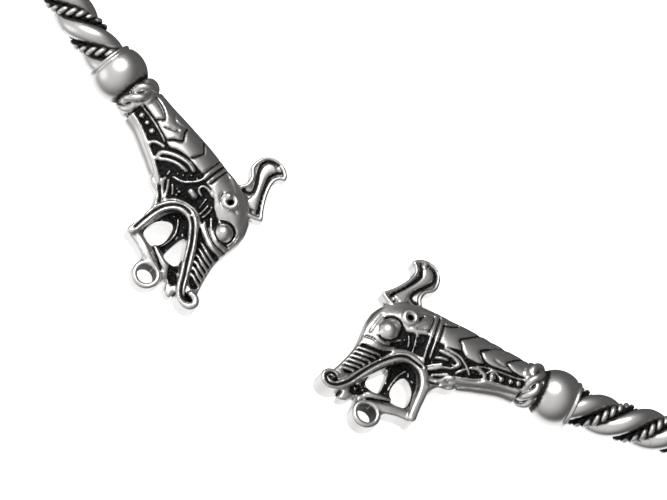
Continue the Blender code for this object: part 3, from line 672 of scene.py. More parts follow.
class Clay(Block):
    """The block that the head's forms are melted into."""

    def __init__(self, low, high, cell):
        super().__init__(low, high, cell, FAR)
        self.sheet = Block(low[:2], high[:2], cell, 0.0)

    def add(self, part, form, blend):
        self.values[part] = melted(self.values[part], form, blend)

    def carve(self, form):
        self.values = np.maximum(self.values, -form)

    def tube(self, places, blend=JOIN, closed=False):
        """A round strand through places of u, w, z and radius."""
        path = smooth(places, closed)
        part, gap, _ = self.stroke(path, path[:, 3].max() + TUBE_REACH)
        self.add(part, gap, blend)

    def sweep(self, places, section="square", blend=JOIN, closed=False):
        """A form through both faces along places of u, w, half width and half height."""
        path = smooth(places, closed)
        part, gap, (width, height) = self.sheet.stroke(path, path[:, 2].max() + SWEEP_REACH)
        part = (*part, slice(None))
        level = np.abs(self.axes[2])
        side, width, height = gap[..., None], width[..., None], height[..., None]
        if section == "round":
            width, height = np.maximum(width, THINNEST), np.maximum(height, THINNEST)
            out = side + width
            near = np.hypot(out / width, level / height)
            slope = np.hypot(out / width**2, level / height**2)
            form = near * (near - 1) / np.maximum(slope, LEAST_SLOPE)
            form = np.where(side > FAR / 2, FAR, form)
        else:
            form = rounded(side, level - height, np.minimum(width, SWEEP_ROUND))
        self.add(part, form.astype(np.float32), blend)

    def plate(self, side, half, rounding, blend):
        """A flat form through both faces inside a signed outline."""
        level = np.abs(self.axes[2])
        self.add(..., rounded(side[..., None], level - half, rounding), blend)


def relief_of(cell, grounds, strands, cuts, bumps, seed):
    """Heights and darkness over a face, on a sheet of places as the face is seen."""
    sheet = Block(*SHEET_ENDS, cell, 0.0)
    height = sheet.values
    for edge in grounds:
        side = sheet.region(edge, GROUND_REACH)
        sunk = GROUND_DEPTH * eased(-side, 0.0, GROUND_SLOPE)
        np.copyto(height, np.minimum(height, -sunk))
    ribs = []
    for index in range(RIBS):
        u, w = RIB_FIRST[0] + RIB_STEP[0] * index, RIB_FIRST[1] + RIB_STEP[1] * index
        half = RIB_HALF[0] - RIB_SHRINK * index
        ends = [(u - half, w + RIB_HALF[1]), (u, w), (u + half, w - RIB_HALF[1])]
        ribs.append((RIB_RADIUS, RIB_LEVEL, ends))
    for radius, level, places in strands + ribs:
        path = smooth([(u, w, radius) for u, w in places])
        part, gap, _ = sheet.stroke(path, radius + STROKE_REACH)
        share = np.clip(gap / radius + 1, 0, 1)
        raised = level - radius * (1 - np.sqrt(1 - share**STRAND_FULLNESS))
        height[part] = np.where(gap < 0, np.maximum(height[part], raised), height[part])
    pebbles(sheet, np.random.default_rng(seed))
    for u, w, radius, level in bumps:
        bump(sheet, u, w, radius, level)
    for radius, depth, places in cuts:
        path = smooth([(u, w, radius) for u, w in places])
        part, gap, _ = sheet.stroke(path, radius + STROKE_REACH)
        lowered = -depth * (1 - ((gap + radius) / radius) ** 2)
        height[part] = np.where(gap < 0, np.minimum(height[part], lowered), height[part])
    sheet.detail = blurred(height, 1)
    sheet.shade = blurred(height, SHADE_STEPS)
    sheet.values = sheet.detail + PILLOW * sheet.shade
    return sheet


def bump(sheet, u, w, radius, level):
    """A round bump whose top is at this level against the form."""
    part = sheet.cut((u - radius, w - radius), (u + radius, w + radius))
    x, y = sheet.places(part)
    share = ((x - u) ** 2 + (y - w) ** 2) / radius**2
    raised = level + radius * (np.sqrt(np.clip(1 - share, 0, 1)) - 1)
    height = sheet.values[part]
    sheet.values[part] = np.where(share < 1, np.maximum(height, raised), height)


def pebbles(sheet, random):
    """Small uneven lumps over the open parts of the sunk grounds."""
    ground = blurred(sheet.values, 2)
    for u in np.arange(*PEBBLE_FIELD[0], PEBBLE_GAP):
        for w in np.arange(*PEBBLE_FIELD[1], PEBBLE_GAP):
            du, dw = random.uniform(-0.5, 0.5, 2) * PEBBLE_GAP
            radius, level = random.uniform(*PEBBLE_RADIUS), random.uniform(*PEBBLE_LEVEL)
            row = int((u + du - sheet.axes[0][0]) / sheet.cell)
            column = int((w + dw - sheet.axes[1][0]) / sheet.cell)
            if ground[row, column] < PEBBLE_GROUND:
                bump(sheet, u + du, w + dw, radius, level)


def looked_up(sheet, values, u, w):
    """The sheet's value at each place, eased between its cells."""
    x = np.clip((u - sheet.axes[0][0]) / sheet.cell, 0, len(sheet.axes[0]) - LAST_CELL)
    y = np.clip((w - sheet.axes[1][0]) / sheet.cell, 0, len(sheet.axes[1]) - LAST_CELL)
    i, j = x.astype(int), y.astype(int)
    x, y = x - i, y - j
    low = values[i, j] * (1 - x) + values[i + 1, j] * x
    high = values[i, j + 1] * (1 - x) + values[i + 1, j + 1] * x
    return low * (1 - y) + high * y


def relief_at(faces, u, w, z, kind="values"):
    """How far each place's face is raised, seen the way it is drawn."""
    lift = np.abs(z) - SEEN_LEVEL
    seen_u, seen_w = u + SEEN_SLIDE[0] * lift, w + SEEN_SLIDE[1] * lift
    left, right = (looked_up(face, getattr(face, kind), seen_u, seen_w) for face in faces)
    share = eased(z, *FACE_SHARE)
    return left * share + right * (1 - share)


def ring_places(centre, radii, count):
    """Places round an ellipse with these radii along u and w."""
    angles = math.tau * np.arange(count) / count
    return [(centre[0] + radii[0] * math.cos(a), centre[1] + radii[1] * math.sin(a)) for a in angles]


def plaited_collar(clay):
    """One wire that laps itself twice round the neck."""
    places = []
    steps = PLAIT_LUMPS * PLAIT_STEPS
    for index in range(steps):
        turn = PLAIT_LAPS * math.tau * index / steps
        swing = -turn * PLAIT_LUMPS / PLAIT_LAPS
        u = PLAIT_CENTRE[0] + PLAIT_SWING[0] * math.cos(swing)
        reach = PLAIT_CENTRE[1] + PLAIT_SWING[1] * math.sin(swing)
        places.append((u, reach * math.sin(turn), reach * math.cos(turn), PLAIT_RADIUS))
    clay.tube(places, PLAIT_JOIN, closed=True)


def head_forms(clay, ball_radius):
    """The plain forms of the head, before its faces are carved."""
    u, w, z = np.ix_(*clay.axes)
    flat = clay.sheet
    clay.sweep(NECK, "round", NECK_JOIN)
    clay.values = np.maximum(clay.values, NECK_START - u)
    clay.sweep(SNOUT, "round", SNOUT_JOIN)
    side = flat.region(PLATE_EDGE, EDGE_REACH)
    for hole in (BACK_HOLE, FRONT_HOLE, ring_places(JAW_RING, RING_HOLE, JAW_RING_POINTS)):
        side = np.maximum(side, -flat.region(hole, EDGE_REACH))
    clay.plate(side, *PLATE)
    crest = flat.region(CREST_EDGE, EDGE_REACH)
    clay.plate(crest, *CREST_FLOOR)
    clay.plate(np.abs(crest + CREST_RIM_HALF) - CREST_RIM_HALF, *CREST_RIM)
    clay.plate(flat.region(CREST_PANEL, EDGE_REACH), *CREST_TOP)
    clay.sweep(CREST_LEAF, blend=LEAF_JOIN)
    for places in (LIP, JAW, TONGUE, PALATE):
        clay.sweep(places)
    ring = ring_places(JAW_RING, JAW_RING_RADII, JAW_RING_POINTS)
    clay.sweep([(*place, JAW_RING_HALF, JAW_RING_TOP) for place in ring], closed=True)
    out = np.hypot(w, z)
    core = np.maximum(out - CORE[1], np.abs(u - CORE[0] / 2) - CORE[0] / 2)
    clay.values = np.minimum(clay.values, core)
    globe = np.sqrt(u * u + out * out) - ball_radius
    globe = np.maximum(globe, np.maximum(BALL_CLIP[0] - u, u - BALL_CLIP[1]))
    clay.values = melted(clay.values, globe, JOIN)
    clay.carve(np.hypot(u - JAW_RING[0], w - JAW_RING[1]) - JAW_RING_BORE)
    place, half, radius = FLANGE
    flange = rounded(np.abs(u - place) - half, out - radius, FLANGE_ROUND)
    clay.values = np.minimum(clay.values, flange)
    place, radius, depth = RIM_GROOVE
    clay.carve(np.hypot(u - place, out - radius) - depth)
    clay.carve(np.maximum(out - SOCKET_RADIUS, u - SOCKET_FLOOR))
    plaited_collar(clay)


def head_details(clay):
    """Eyes and ears, which stand off the carved faces."""
    for side, (u, w, z, radius) in ((1, LEFT_EYE), (-1, RIGHT_EYE)):
        part = clay.cut((u - EYE_REACH, w - EYE_REACH, CLAY_ENDS[0][2]),
                        (u + EYE_REACH, w + EYE_REACH, CLAY_ENDS[1][2]))
        x, y, level = clay.places(part)
        ball = np.sqrt((x - u) ** 2 + (y - w) ** 2 + (level - side * z) ** 2) - radius
        clay.values[part] = np.minimum(clay.values[part], ball)
        radius, wire = EAR_RING
        ring = ring_places(EAR[:2], (radius, radius), EAR_POINTS)
        clay.tube([(*place, side * EAR[2], wire) for place in ring], EAR_JOIN, closed=True)
    clay.tube(EAR_LOBE)


def carved(clay, faces):
    """Raises and lowers the forms where they face outwards, as the relief says."""
    near = np.nonzero(np.abs(clay.values) < CARVED_REACH)
    places = [axis[index] for axis, index in zip(clay.axes, near)]
    slopes = [slope[near] for slope in np.gradient(clay.values, clay.cell)]
    steep = np.abs(slopes[2]) / np.maximum(np.sqrt(sum(slope**2 for slope in slopes)), TINY)
    lowered = eased(steep, *CARVED_FACING) * eased(places[0], *NECK_CARVED)
    clay.values[near] -= relief_at(faces, *places) * lowered


def blurred(values, steps):
    """The block's values averaged over this many steps each way."""
    for axis in range(values.ndim):
        for _ in range(2):
            padded = np.concatenate([
                np.repeat(np.take(values, [0], axis), steps + 1, axis), values,
                np.repeat(np.take(values, [-1], axis), steps, axis),
            ], axis)
            total = np.cumsum(padded, axis, dtype=np.float32)
            count = values.shape[axis]
            high = np.take(total, range(2 * steps + 1, 2 * steps + 1 + count), axis)
            values = (high - np.take(total, range(count), axis)) / (2 * steps + 1)
    return values


def skin(clay):
    """Corners and faces of the block's surface, one corner in each cell that it crosses."""
    values = clay.values
    outside = values > 0
    offsets = [(a, b, c) for a in (0, 1) for b in (0, 1) for c in (0, 1)]
    counts = [count - 1 for count in values.shape]
    total = np.zeros(counts, np.uint8)
    for a, b, c in offsets:
        total += outside[a:a + counts[0], b:b + counts[1], c:c + counts[2]]
    cells = np.nonzero((total > 0) & (total < 8))
    number = np.full(counts, -1, np.int32)
    number[cells] = np.arange(len(cells[0]))
    sums = np.zeros((len(cells[0]), 3), np.float64)
    hits = np.zeros(len(cells[0]))
    for first in offsets:
        for axis in range(3):
            if first[axis]:
                continue
            second = tuple(1 if k == axis else first[k] for k in range(3))
            start = values[tuple(cells[k] + first[k] for k in range(3))]
            end = values[tuple(cells[k] + second[k] for k in range(3))]
            crossed = (start > 0) != (end > 0)
            share = start[crossed] / (start[crossed] - end[crossed])
            for k in range(3):
                sums[crossed, k] += first[k] + (share if k == axis else 0)
            hits += crossed
    corners = (np.stack(cells, 1) + sums / hits[:, None]) * clay.cell
    corners += [axis[0] for axis in clay.axes]
    faces = []
    for axis in range(3):
        near, far = (axis + 1) % 3, (axis + 2) % 3
        low = [slice(1, -1)] * 3
        low[axis] = slice(0, -1)
        high = list(low)
        high[axis] = slice(1, None)
        before, after = outside[tuple(low)], outside[tuple(high)]
        for leaving in (True, False):
            spots = np.nonzero(~before & after if leaving else before & ~after)
            spots = [spot + (0 if k == axis else 1) for k, spot in enumerate(spots)]
            quad = []
            for a, b in ((-1, -1), (0, -1), (0, 0), (-1, 0)):
                index = list(spots)
                index[near] = spots[near] + a
                index[far] = spots[far] + b
                quad.append(number[tuple(index)])
            quad = np.stack(quad, 1)
            faces.append(quad if leaving else quad[:, ::-1])
    return corners, np.vstack(faces)


def one_body(corners, quads):
    """The corners and faces of the largest joined body, without loose specks."""
    label = np.arange(len(corners))
    while True:
        lowest = label.copy()
        np.minimum.at(lowest, quads, label[quads].min(1)[:, None])
        lowest = lowest[lowest]
        if (lowest == label).all():
            break
        label = lowest
    kept = label == np.bincount(label).argmax()
    number = np.cumsum(kept) - 1
    return corners[kept], number[quads[kept[quads[:, 0]]]]


def relaxed(corners, quads, rounds=2):
    """The corners drawn towards their neighbours, which evens out the block's steps."""
    ends = np.vstack([quads[:, [k, (k + 1) % 4]] for k in range(4)])
    count = len(corners)
    degree = np.bincount(ends[:, 0], minlength=count)[:, None]
    for _ in range(rounds):
        total = [np.bincount(ends[:, 0], corners[ends[:, 1], k], count) for k in range(3)]
        corners = (corners + np.stack(total, 1) / degree) / 2
    return corners


def head_mesh(sizes):
    """The finished head in its drawing's millimetres, with a value of patina and painted shade at each
    corner.
    """
    cell = sizes.cell * DRAWN_REACH / sizes.reach
    clay = Clay(*CLAY_ENDS, cell)
    faces = [relief_of(cell / 2, *relief) for relief in (LEFT_RELIEF, RIGHT_RELIEF)]
    head_forms(clay, sizes.ball_radius * DRAWN_REACH / sizes.reach)
    carved(clay, faces)
    head_details(clay)
    corners, quads = one_body(*skin(clay))
    corners = relaxed(corners, quads)
    mesh = bpy.data.meshes.new("head")
    mesh.from_pydata(corners.tolist(), [], quads.tolist())
    mesh = thinned(mesh, sizes.triangles)
    places, ways = (read(mesh, name) for name in ("co", "normal"))
    oxide_and_shade = oxide_and_shade_at(clay, faces, places, ways)
    attribute = mesh.attributes.new("oxide_and_shade", "FLOAT", "POINT")
    attribute.data.foreach_set("value", oxide_and_shade.astype(np.float32))
    return mesh


def read(mesh, name):
    """What each of the mesh's corners holds under this name."""
    values = np.zeros(len(mesh.vertices) * 3, np.float32)
    mesh.vertices.foreach_get(name, values)
    return values.reshape(-1, 3)


def thinned(mesh, triangles):
    """The mesh with at most this many triangles, fewest where it is flattest."""
    helper = bpy.data.objects.new("helper", mesh)
    bpy.context.scene.collection.objects.link(helper)
    thin = helper.modifiers.new("thin", "DECIMATE")
    thin.ratio = min(1.0, triangles / (2 * len(mesh.polygons)))
    graph = bpy.context.evaluated_depsgraph_get()
    result = bpy.data.meshes.new_from_object(helper.evaluated_get(graph))
    bpy.data.objects.remove(helper)
    bpy.data.meshes.remove(mesh)
    return result


def oxide_and_shade_at(clay, faces, places, ways):
    """How black each place is: the more it is shut in or sunk, the blacker, as patina; beside the grooves,
    painted shade darkens it too.
    """
    filled = np.clip(0.5 - clay.values / clay.cell, 0, 1)
    index = [np.clip((places[:, k] - clay.axes[k][0]) / clay.cell, 0, len(clay.axes[k]) - 1)
             for k in range(3)]
    index = tuple(np.rint(values).astype(int) for values in index)
    shut = sum(blurred(filled, steps)[index] for steps in SHUT_STEPS) / len(SHUT_STEPS)
    u, w, z = places.T
    carved_here = eased(u, *NECK_CARVED) * eased(np.abs(ways[:, 2]), *BLACK_FACING)
    detail, shade = (relief_at(faces, u, w, z, kind) for kind in ("detail", "shade"))
    sunk = eased(-detail, *SUNK_BLACK) * carved_here
    # Painted shade: a soft darkening of the plain surface near the grooves and sunk grounds, where shade
    # falls
    painted_shade = PAINTED_SHADE_STRENGTH * eased(-shade, *PAINTED_SHADE_DEPTHS) * eased(shade - detail, *PAINTED_SHADE_RISE) * carved_here
    socket = eased(-u, -SOCKET_FLOOR - SOCKET_FADE, -SOCKET_FLOOR)
    socket *= np.hypot(w, z) < SOCKET_RADIUS + SOCKET_SPARE
    groove = eased(u, *COLLAR_BLACK[0]) * eased(-u, *COLLAR_BLACK[1])
    bore = eased(-np.hypot(u - JAW_RING[0], w - JAW_RING[1]), *BORE_BLACK)
    bore *= eased(-np.abs(z), -JAW_RING_TOP, -JAW_RING_TOP + BORE_FADE)
    return np.clip(eased(shut, *SHUT_BLACK) + sunk + painted_shade + socket + groove + bore, 0, 1)


def head_matrix(ring, side, setting, step):
    """A head's place: its ball on the rod's end, its crest to the ring's middle."""
    yaw, roll, pitch = (math.radians(value) for value in setting)
    forward = Vector((-side * math.cos(yaw) * math.cos(pitch),
                      -math.sin(yaw) * math.cos(pitch), math.sin(pitch)))
    level = Vector((-side * math.sin(yaw), math.cos(yaw), 0))
    level = (level - forward * level.dot(forward)).normalized()
    face = forward.cross(level) * -side
    crest = level * math.cos(roll) + face * math.sin(roll)
    matrix = Matrix((forward, crest, forward.cross(crest))).transposed() * step
    matrix = matrix.to_4x4()
    matrix.translation = ring.origin + Vector((side * ring.half_span, 0, 0))
    return matrix


class Ring:
    """The line that the rod follows, from the left ball round the back to the right ball."""

    def __init__(self, sizes):
        self.half_span = sizes.ball_span / 2
        self.front_radius = sizes.front_radius
        self.splay = sizes.splay
        self.shift = self.half_span - self.front_radius * math.sin(self.splay)
        self.depth = self.front_radius * math.cos(self.splay)
        self.back_radius = self.shift + self.front_radius
        self.front_arc = self.front_radius * (math.pi / 2 - self.splay)
        self.length = 2 * self.front_arc + math.pi * self.back_radius
        self.origin = packed_centre() - Vector((0, self.depth, 0))

    def place(self, distance):
        """The place on the rod's axis this far from the left ball's centre."""
        side, travelled = -1, distance
        if distance > self.length / 2:
            side, travelled = 1, self.length - distance
        if travelled < self.front_arc:
            centre = Vector((side * self.shift, self.depth, 0))
            radius = self.front_radius
            turn = math.pi / 2 - self.splay - travelled / radius
        else:
            centre = Vector((0, self.depth, 0))
            radius = self.back_radius
            turn = -(travelled - self.front_arc) / radius
        return self.origin + centre + radius * Vector((side * math.cos(turn), -math.sin(turn), 0))


def packed_centre():
    """The middle of the back half circle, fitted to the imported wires."""
    wires = [read(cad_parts[name].data, "co") for name in ("wire_1", "wire_2")]
    points = np.vstack(wires).astype(float)
    middle = (points[:, 1].min() + points[:, 1].max()) / 2
    back = points[points[:, 1] > middle]
    rows = np.column_stack([2 * back[:, :2], np.ones(len(back))])
    x, y, _ = np.linalg.lstsq(rows, (back[:, :2] ** 2).sum(1), rcond=None)[0]
    return Vector((x, y, points[:, 2].mean()))


def axis_curve(ring, start):
    """The rod's axis as a curve object, for the windings to follow."""
    count = round((ring.length - 2 * start) / AXIS_STEP)
    curve = bpy.data.curves.new("rod_axis", "CURVE")
    curve.dimensions = "3D"
    spline = curve.splines.new("POLY")
    spline.points.add(count)
    for index, point in enumerate(spline.points):
        distance = start + (ring.length - 2 * start) * index / count
        point.co = (*ring.place(distance), 1)
    axis = bpy.data.objects.new("rod_axis", curve)
    bpy.context.scene.collection.objects.link(axis)
    return axis


def wound(graph, curve, reach, pitch, phase, step):
    """The curve wound round its own line, left-handed, in steps of this length."""
    curve = graph.node(
        "GeometryNodeResampleCurve", {"mode": "LENGTH"}, {"Curve": curve, "Length": step},
    )
    travelled = graph.node("GeometryNodeSplineParameter", output="Length")
    angle = travelled * math.tau / pitch + phase
    tangent = graph.node("GeometryNodeInputTangent")
    side = graph.vectors("NORMALIZE", graph.vectors("CROSS_PRODUCT", tangent, UP))
    lift = graph.vectors("CROSS_PRODUCT", side, tangent)
    across = graph.node("ShaderNodeMath", {"operation": "COSINE"}, {0: angle}) * reach
    above = graph.node("ShaderNodeMath", {"operation": "SINE"}, {0: angle}) * reach
    offset = graph.vectors(
        "ADD", graph.vectors("SCALE", side, scale=across), graph.vectors("SCALE", lift, scale=above),
    )
    return graph.node("GeometryNodeSetPosition", None, {"Geometry": curve, "Offset": offset})


def stored(graph, geometry, name, kind, value):
    return graph.node(
        "GeometryNodeStoreNamedAttribute", {"data_type": kind, "domain": "POINT"},
        {"Geometry": geometry, "Name": name, "Value": value},
    )


def named(graph, name):
    return graph.node("GeometryNodeInputNamedAttribute", {"data_type": "FLOAT_VECTOR"}, {"Name": name})


def skinned(graph, curve, radius, sides, shade):
    """The curve as a round wire whose patina deepens towards the rod's axis."""
    profile = graph.node(
        "GeometryNodeCurvePrimitiveCircle", None, {"Resolution": sides, "Radius": radius},
    )
    mesh = graph.node(
        "GeometryNodeCurveToMesh", None,
        {"Curve": curve, "Profile Curve": profile, "Fill Caps": True},
    )
    place = graph.node("GeometryNodeInputPosition")
    out = graph.vectors("SUBTRACT", place, named(graph, "axis_place"))
    along = named(graph, "axis_way")
    inline = graph.measure("DOT_PRODUCT", out, along)
    across = graph.vectors("SUBTRACT", out, graph.vectors("SCALE", along, scale=inline))
    distance = graph.measure("LENGTH", across)
    bright, dark = shade
    mesh = stored(graph, mesh, "oxide_and_shade", "FLOAT", graph.spread(distance, dark, bright, 1.0, 0.0))
    for name in ("axis_place", "axis_way"):
        mesh = graph.node("GeometryNodeRemoveAttribute", None, {"Geometry": mesh, "Name": name})
    return mesh


def winding_tree(name, plies, material, shade):
    """A tree that winds a wire, or a cord of several plies, round the rod's axis."""
    tree = bpy.data.node_groups.new(name, "GeometryNodeTree")
    tree.interface.new_socket("Geometry", in_out="OUTPUT", socket_type="NodeSocketGeometry")
    tree.interface.new_socket("Axis", in_out="INPUT", socket_type="NodeSocketGeometry")
    for label in ("Reach", "Pitch", "Phase", "Radius", "Ply Pitch"):
        tree.interface.new_socket(label, in_out="INPUT", socket_type="NodeSocketFloat")
    graph = Graph(tree)
    entry = tree.nodes.new("NodeGroupInput")
    inputs = {socket.name: Socket(graph, socket) for socket in entry.outputs if socket.name}
    curve = stored(graph, inputs["Axis"], "axis_place", "FLOAT_VECTOR",
                   graph.node("GeometryNodeInputPosition"))
    curve = stored(graph, curve, "axis_way", "FLOAT_VECTOR", graph.node("GeometryNodeInputTangent"))
    pitch, radius = inputs["Pitch"], inputs["Radius"]
    wire = wound(graph, curve, inputs["Reach"], pitch, inputs["Phase"], pitch / WIRE_POINTS_A_TURN)
    strands, sides = [wire], WIRE_SIDES
    if plies > 1:
        pitch, sides = inputs["Ply Pitch"], PLY_SIDES
        strands = [wound(graph, wire, radius, pitch, math.tau * index / plies,
                         pitch / PLY_POINTS_A_TURN) for index in range(plies)]
    joined = graph.node("GeometryNodeJoinGeometry")
    for strand in strands:
        mesh = skinned(graph, strand, radius, sides, shade)
        tree.links.new(mesh.output, joined.output.node.inputs[0])
    whole = graph.node("GeometryNodeRealizeInstances", None, {"Geometry": joined})
    whole = graph.node("GeometryNodeSetShadeSmooth", None, {"Geometry": whole})
    whole = graph.node("GeometryNodeSetMaterial", None, {"Geometry": whole, "Material": material})
    graph.node("NodeGroupOutput", None, {0: whole})
    return tree


def grown(name, axis, tree, sizes):
    """The mesh piece that a tree makes from the axis with these named sizes."""
    modifier = axis.modifiers.new(name, "NODES")
    modifier.node_group = tree
    for item in tree.interface.items_tree:
        if item.in_out == "INPUT" and item.name in sizes:
            modifier[item.identifier] = sizes[item.name]
    graph = bpy.context.evaluated_depsgraph_get()
    mesh = bpy.data.meshes.new_from_object(axis.evaluated_get(graph))
    axis.modifiers.remove(modifier)
    mesh.name = name
    piece = bpy.data.objects.new(name, mesh)
    bpy.context.scene.collection.objects.link(piece)
    return piece


def placed(piece, node):
    """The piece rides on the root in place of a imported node."""
    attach(piece, "root")
    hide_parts(node)


def metal(name, finishes):
    """Silver with black oxide where the patina and the painted shade are, worn through unevenly."""
    duller, scale, worn = METALS[name]
    material = bpy.data.materials.new(name)
    material.use_nodes = True
    shader = material.node_tree.nodes["Principled BSDF"]
    graph = Graph(material.node_tree)
    place = graph.node("ShaderNodeTexCoord", output="Object")
    # Patina of the hollows, and on the heads painted shade beside the grooves, in one attribute
    oxide_and_shade = graph.node("ShaderNodeAttribute", {"attribute_name": "oxide_and_shade"}, output="Fac")
    speckle = graph.node("ShaderNodeTexNoise", None, {"Vector": place, "Scale": scale, **GRAIN})
    cloud = graph.node(
        "ShaderNodeTexNoise", None, {"Vector": place, "Scale": scale / CLOUD_GRAINS, **CLOUD},
    )
    black = graph.spread(oxide_and_shade + (speckle - 0.5) * worn, *BLACK_RANGE)
    darker = [value * CLOUD_DARKENING for value in finishes.silver]
    tone = graph.mixed(cloud * CLOUD_TINT, finishes.silver, darker)
    graph.feed(shader.inputs["Base Color"], graph.mixed(black, tone, finishes.oxide))
    polish = finishes.polish + duller - CLOUD_ROUGHNESS / 2
    roughness = cloud * CLOUD_ROUGHNESS + black * BLACK_ROUGHNESS + polish
    graph.feed(shader.inputs["Roughness"], roughness)
    graph.feed(shader.inputs["Metallic"], 1 - black * BLACK_DULLING)
    bumps = {"Height": speckle, "Distance": GRAIN_DEPTH, "Strength": GRAIN_STRENGTH}
    graph.feed(shader.inputs["Normal"], graph.node("ShaderNodeBump", None, bumps))
    return material


def wind(scene, node, reach, radius):
    """Both windings of one kind, half a turn apart."""
    rod = scene.torc_rod
    kind, plies, quarter, slot, shares = WINDINGS[node]
    axis = axis_curve(Ring(scene.torc_ring), rod.start)
    shade = [reach + radius * share for share in shares]
    tree = winding_tree(kind, plies, metal(f"{node}_silver", scene.torc_finishes), shade)
    begun = math.tau * (rod.start - rod.first_crest) / rod.pitch
    sizes = {"Reach": reach, "Pitch": rod.pitch, "Radius": radius, "Ply Pitch": rod.ply_pitch}
    for index in range(2):
        sizes["Phase"] = math.pi / 2 * (1 + quarter + 2 * index) + begun
        piece = grown(f"{kind}_{index + 1}", axis, tree, sizes)
        placed(piece, f"{node}_{index + 1}")
    bpy.data.objects.remove(axis)


class TORC_OT_wires(bpy.types.Operator):
    """Winds the two thick wires of the rod"""

    bl_idname = "torc.wires"
    bl_label = "Wires"

    def execute(self, context):
        rod = context.scene.torc_rod
        wind(context.scene, "wire", rod.wire_reach, rod.wire_radius)
        return {"FINISHED"}


class TORC_OT_cords(bpy.types.Operator):
    """Winds the two fine two-ply cords into the rod's grooves"""

    bl_idname = "torc.cords"
    bl_label = "Cords"

    def execute(self, context):
        rod = context.scene.torc_rod
        wind(context.scene, "cord", rod.cord_reach, rod.ply_radius)
        return {"FINISHED"}


class TORC_OT_heads(bpy.types.Operator):
    """Models the cast beast head and sets one on each end of the rod"""

    bl_idname = "torc.heads"
    bl_label = "Heads"

    def execute(self, context):
        scene = context.scene
        ring = Ring(scene.torc_ring)
        step = scene.torc_head.reach / DRAWN_REACH
        material = metal("cast_silver", scene.torc_finishes)
        drawn = head_mesh(scene.torc_head)
        for side, setting, name in ((-1, LEFT_SETTING, "left"), (1, RIGHT_SETTING, "right")):
            mesh = drawn.copy()
            mesh.name = f"head_{name}"
            mesh.transform(head_matrix(ring, side, setting, step))
            mesh.materials.append(material)
            mesh.shade_smooth()
            piece = bpy.data.objects.new(f"head_{name}", mesh)
            scene.collection.objects.link(piece)
            placed(piece, f"terminal_{name}")
        bpy.data.meshes.remove(drawn)
        return {"FINISHED"}


class TORC_OT_stage(bpy.types.Operator):
    """Lays the floor, hangs the soft lights and sets up the camera"""

    bl_idname = "torc.stage"
    bl_label = "Stage"

    def execute(self, context):
        scene = context.scene
        ring = Ring(scene.torc_ring)
        scene.view_settings.view_transform = "Standard"
        floor_sheet(scene)
        sky = bpy.data.worlds.new("studio")
        sky.use_nodes = True
        graph = Graph(sky.node_tree)
        way = graph.node("ShaderNodeTexCoord", output="Generated")
        above, below, under = (
            graph.spread(graph.measure("DOT_PRODUCT", way, side), *limits)
            for side, limits in SKY_SIDES
        )
        ground = sky.node_tree.nodes["Background"]
        ground.inputs["Color"].default_value = SKY_COLOUR
        graph.feed(ground.inputs["Strength"], above + (below - above) * under)
        scene.world = sky
        for name, (offset, width, power) in LIGHTS.items():
            soft_light(name, ring.origin + Vector(offset), width, power, ring.origin)
        scene.camera = photo_camera(scene, ring)
        return {"FINISHED"}


def floor_sheet(scene):
    mesh = bpy.data.meshes.new("floor")
    corners = [(x * FLOOR_HALF, y * FLOOR_HALF, 0) for x, y in ((-1, -1), (1, -1), (1, 1), (-1, 1))]
    mesh.from_pydata(corners, [], [(0, 1, 2, 3)])
    material = bpy.data.materials.new("floor_paper")
    material.use_nodes = True
    shader = material.node_tree.nodes["Principled BSDF"]
    shader.inputs["Base Color"].default_value = (*scene.torc_finishes.floor, 1)
    shader.inputs["Roughness"].default_value = FLOOR_ROUGHNESS
    shader.inputs["Emission Color"].default_value = FLOOR_GLOW_COLOUR
    shader.inputs["Emission Strength"].default_value = FLOOR_GLOW
    mesh.materials.append(material)
    floor = bpy.data.objects.new("floor", mesh)
    scene.collection.objects.link(floor)
    floor.visible_glossy = False


def soft_light(name, place, width, power, target):
    light = bpy.data.lights.new(name, "AREA")
    light.shape = "DISK"
    light.size = width
    light.energy = power
    lamp = bpy.data.objects.new(name, light)
    lamp.location = place
    lamp.rotation_euler = (place - target).to_track_quat("Z", "Y").to_euler()
    bpy.context.scene.collection.objects.link(lamp)


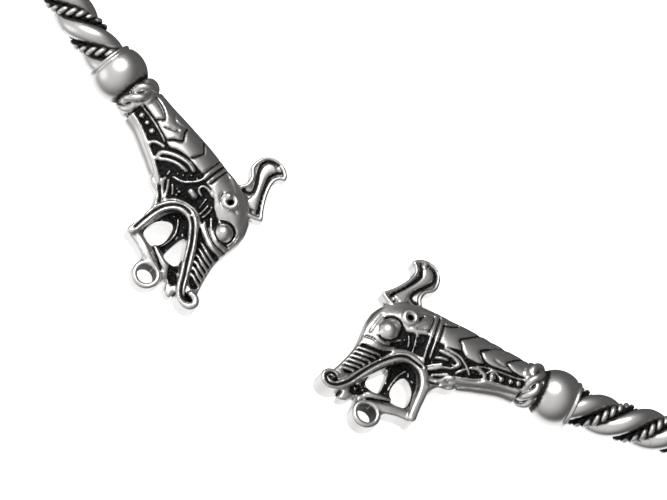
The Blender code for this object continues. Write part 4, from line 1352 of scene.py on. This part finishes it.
def photo_camera(scene, ring):
    """The camera at the photograph's view."""
    sine, cosine = math.sin(VIEW_ELEVATION), math.cos(VIEW_ELEVATION)
    level, tilted = Vector((1, 0, 0)), Vector((0, sine, cosine))
    right = level * math.cos(VIEW_ROLL) + tilted * math.sin(VIEW_ROLL)
    above = tilted * math.cos(VIEW_ROLL) - level * math.sin(VIEW_ROLL)
    back = right.cross(above)
    data = bpy.data.cameras.new("photo_view")
    data.lens = LENS
    data.clip_start = NEAREST
    camera = bpy.data.objects.new("photo_view", data)
    scene.collection.objects.link(camera)
    matrix = Matrix((right, above, back)).transposed().to_4x4()
    middle = ring.origin + right * PICTURE_MIDDLE[0] + above * PICTURE_MIDDLE[1]
    matrix.translation = middle + back * (SHOWN_WIDTH * LENS / data.sensor_width)
    camera.matrix_world = matrix
    return camera


class TORC_PT_panel(bpy.types.Panel):
    """Lists the neck ring's sizes, finishes and steps"""

    bl_idname = "TORC_PT_panel"
    bl_label = "Neck Ring"
    bl_space_type = "VIEW_3D"
    bl_region_type = "UI"
    bl_category = "Neck Ring"

    def draw(self, context):
        for owner in GROUPS:
            group = getattr(context.scene, owner)
            box = self.layout.box()
            for name in group.bl_rna.properties.keys():
                if name not in ("rna_type", "name"):
                    box.prop(group, name)
        for operator in OPERATORS:
            self.layout.operator(operator.bl_idname)


GROUPS = {
    "torc_ring": RingSizes,
    "torc_rod": RodSizes,
    "torc_head": HeadSizes,
    "torc_finishes": Finishes,
}
OPERATORS = (TORC_OT_wires, TORC_OT_cords, TORC_OT_heads, TORC_OT_stage)


def register():
    for cls in (*GROUPS.values(), *OPERATORS, TORC_PT_panel):
        bpy.utils.register_class(cls)
    for name, cls in GROUPS.items():
        setattr(bpy.types.Scene, name, PointerProperty(type=cls))


def unregister():
    for name in GROUPS:
        delattr(bpy.types.Scene, name)
    for cls in (TORC_PT_panel, *OPERATORS, *GROUPS.values()):
        bpy.utils.unregister_class(cls)


def main():
    register()
    bpy.ops.torc.wires()
    bpy.ops.torc.cords()
    bpy.ops.torc.heads()
    bpy.ops.torc.stage()


if __name__ == "__main__":
    main()
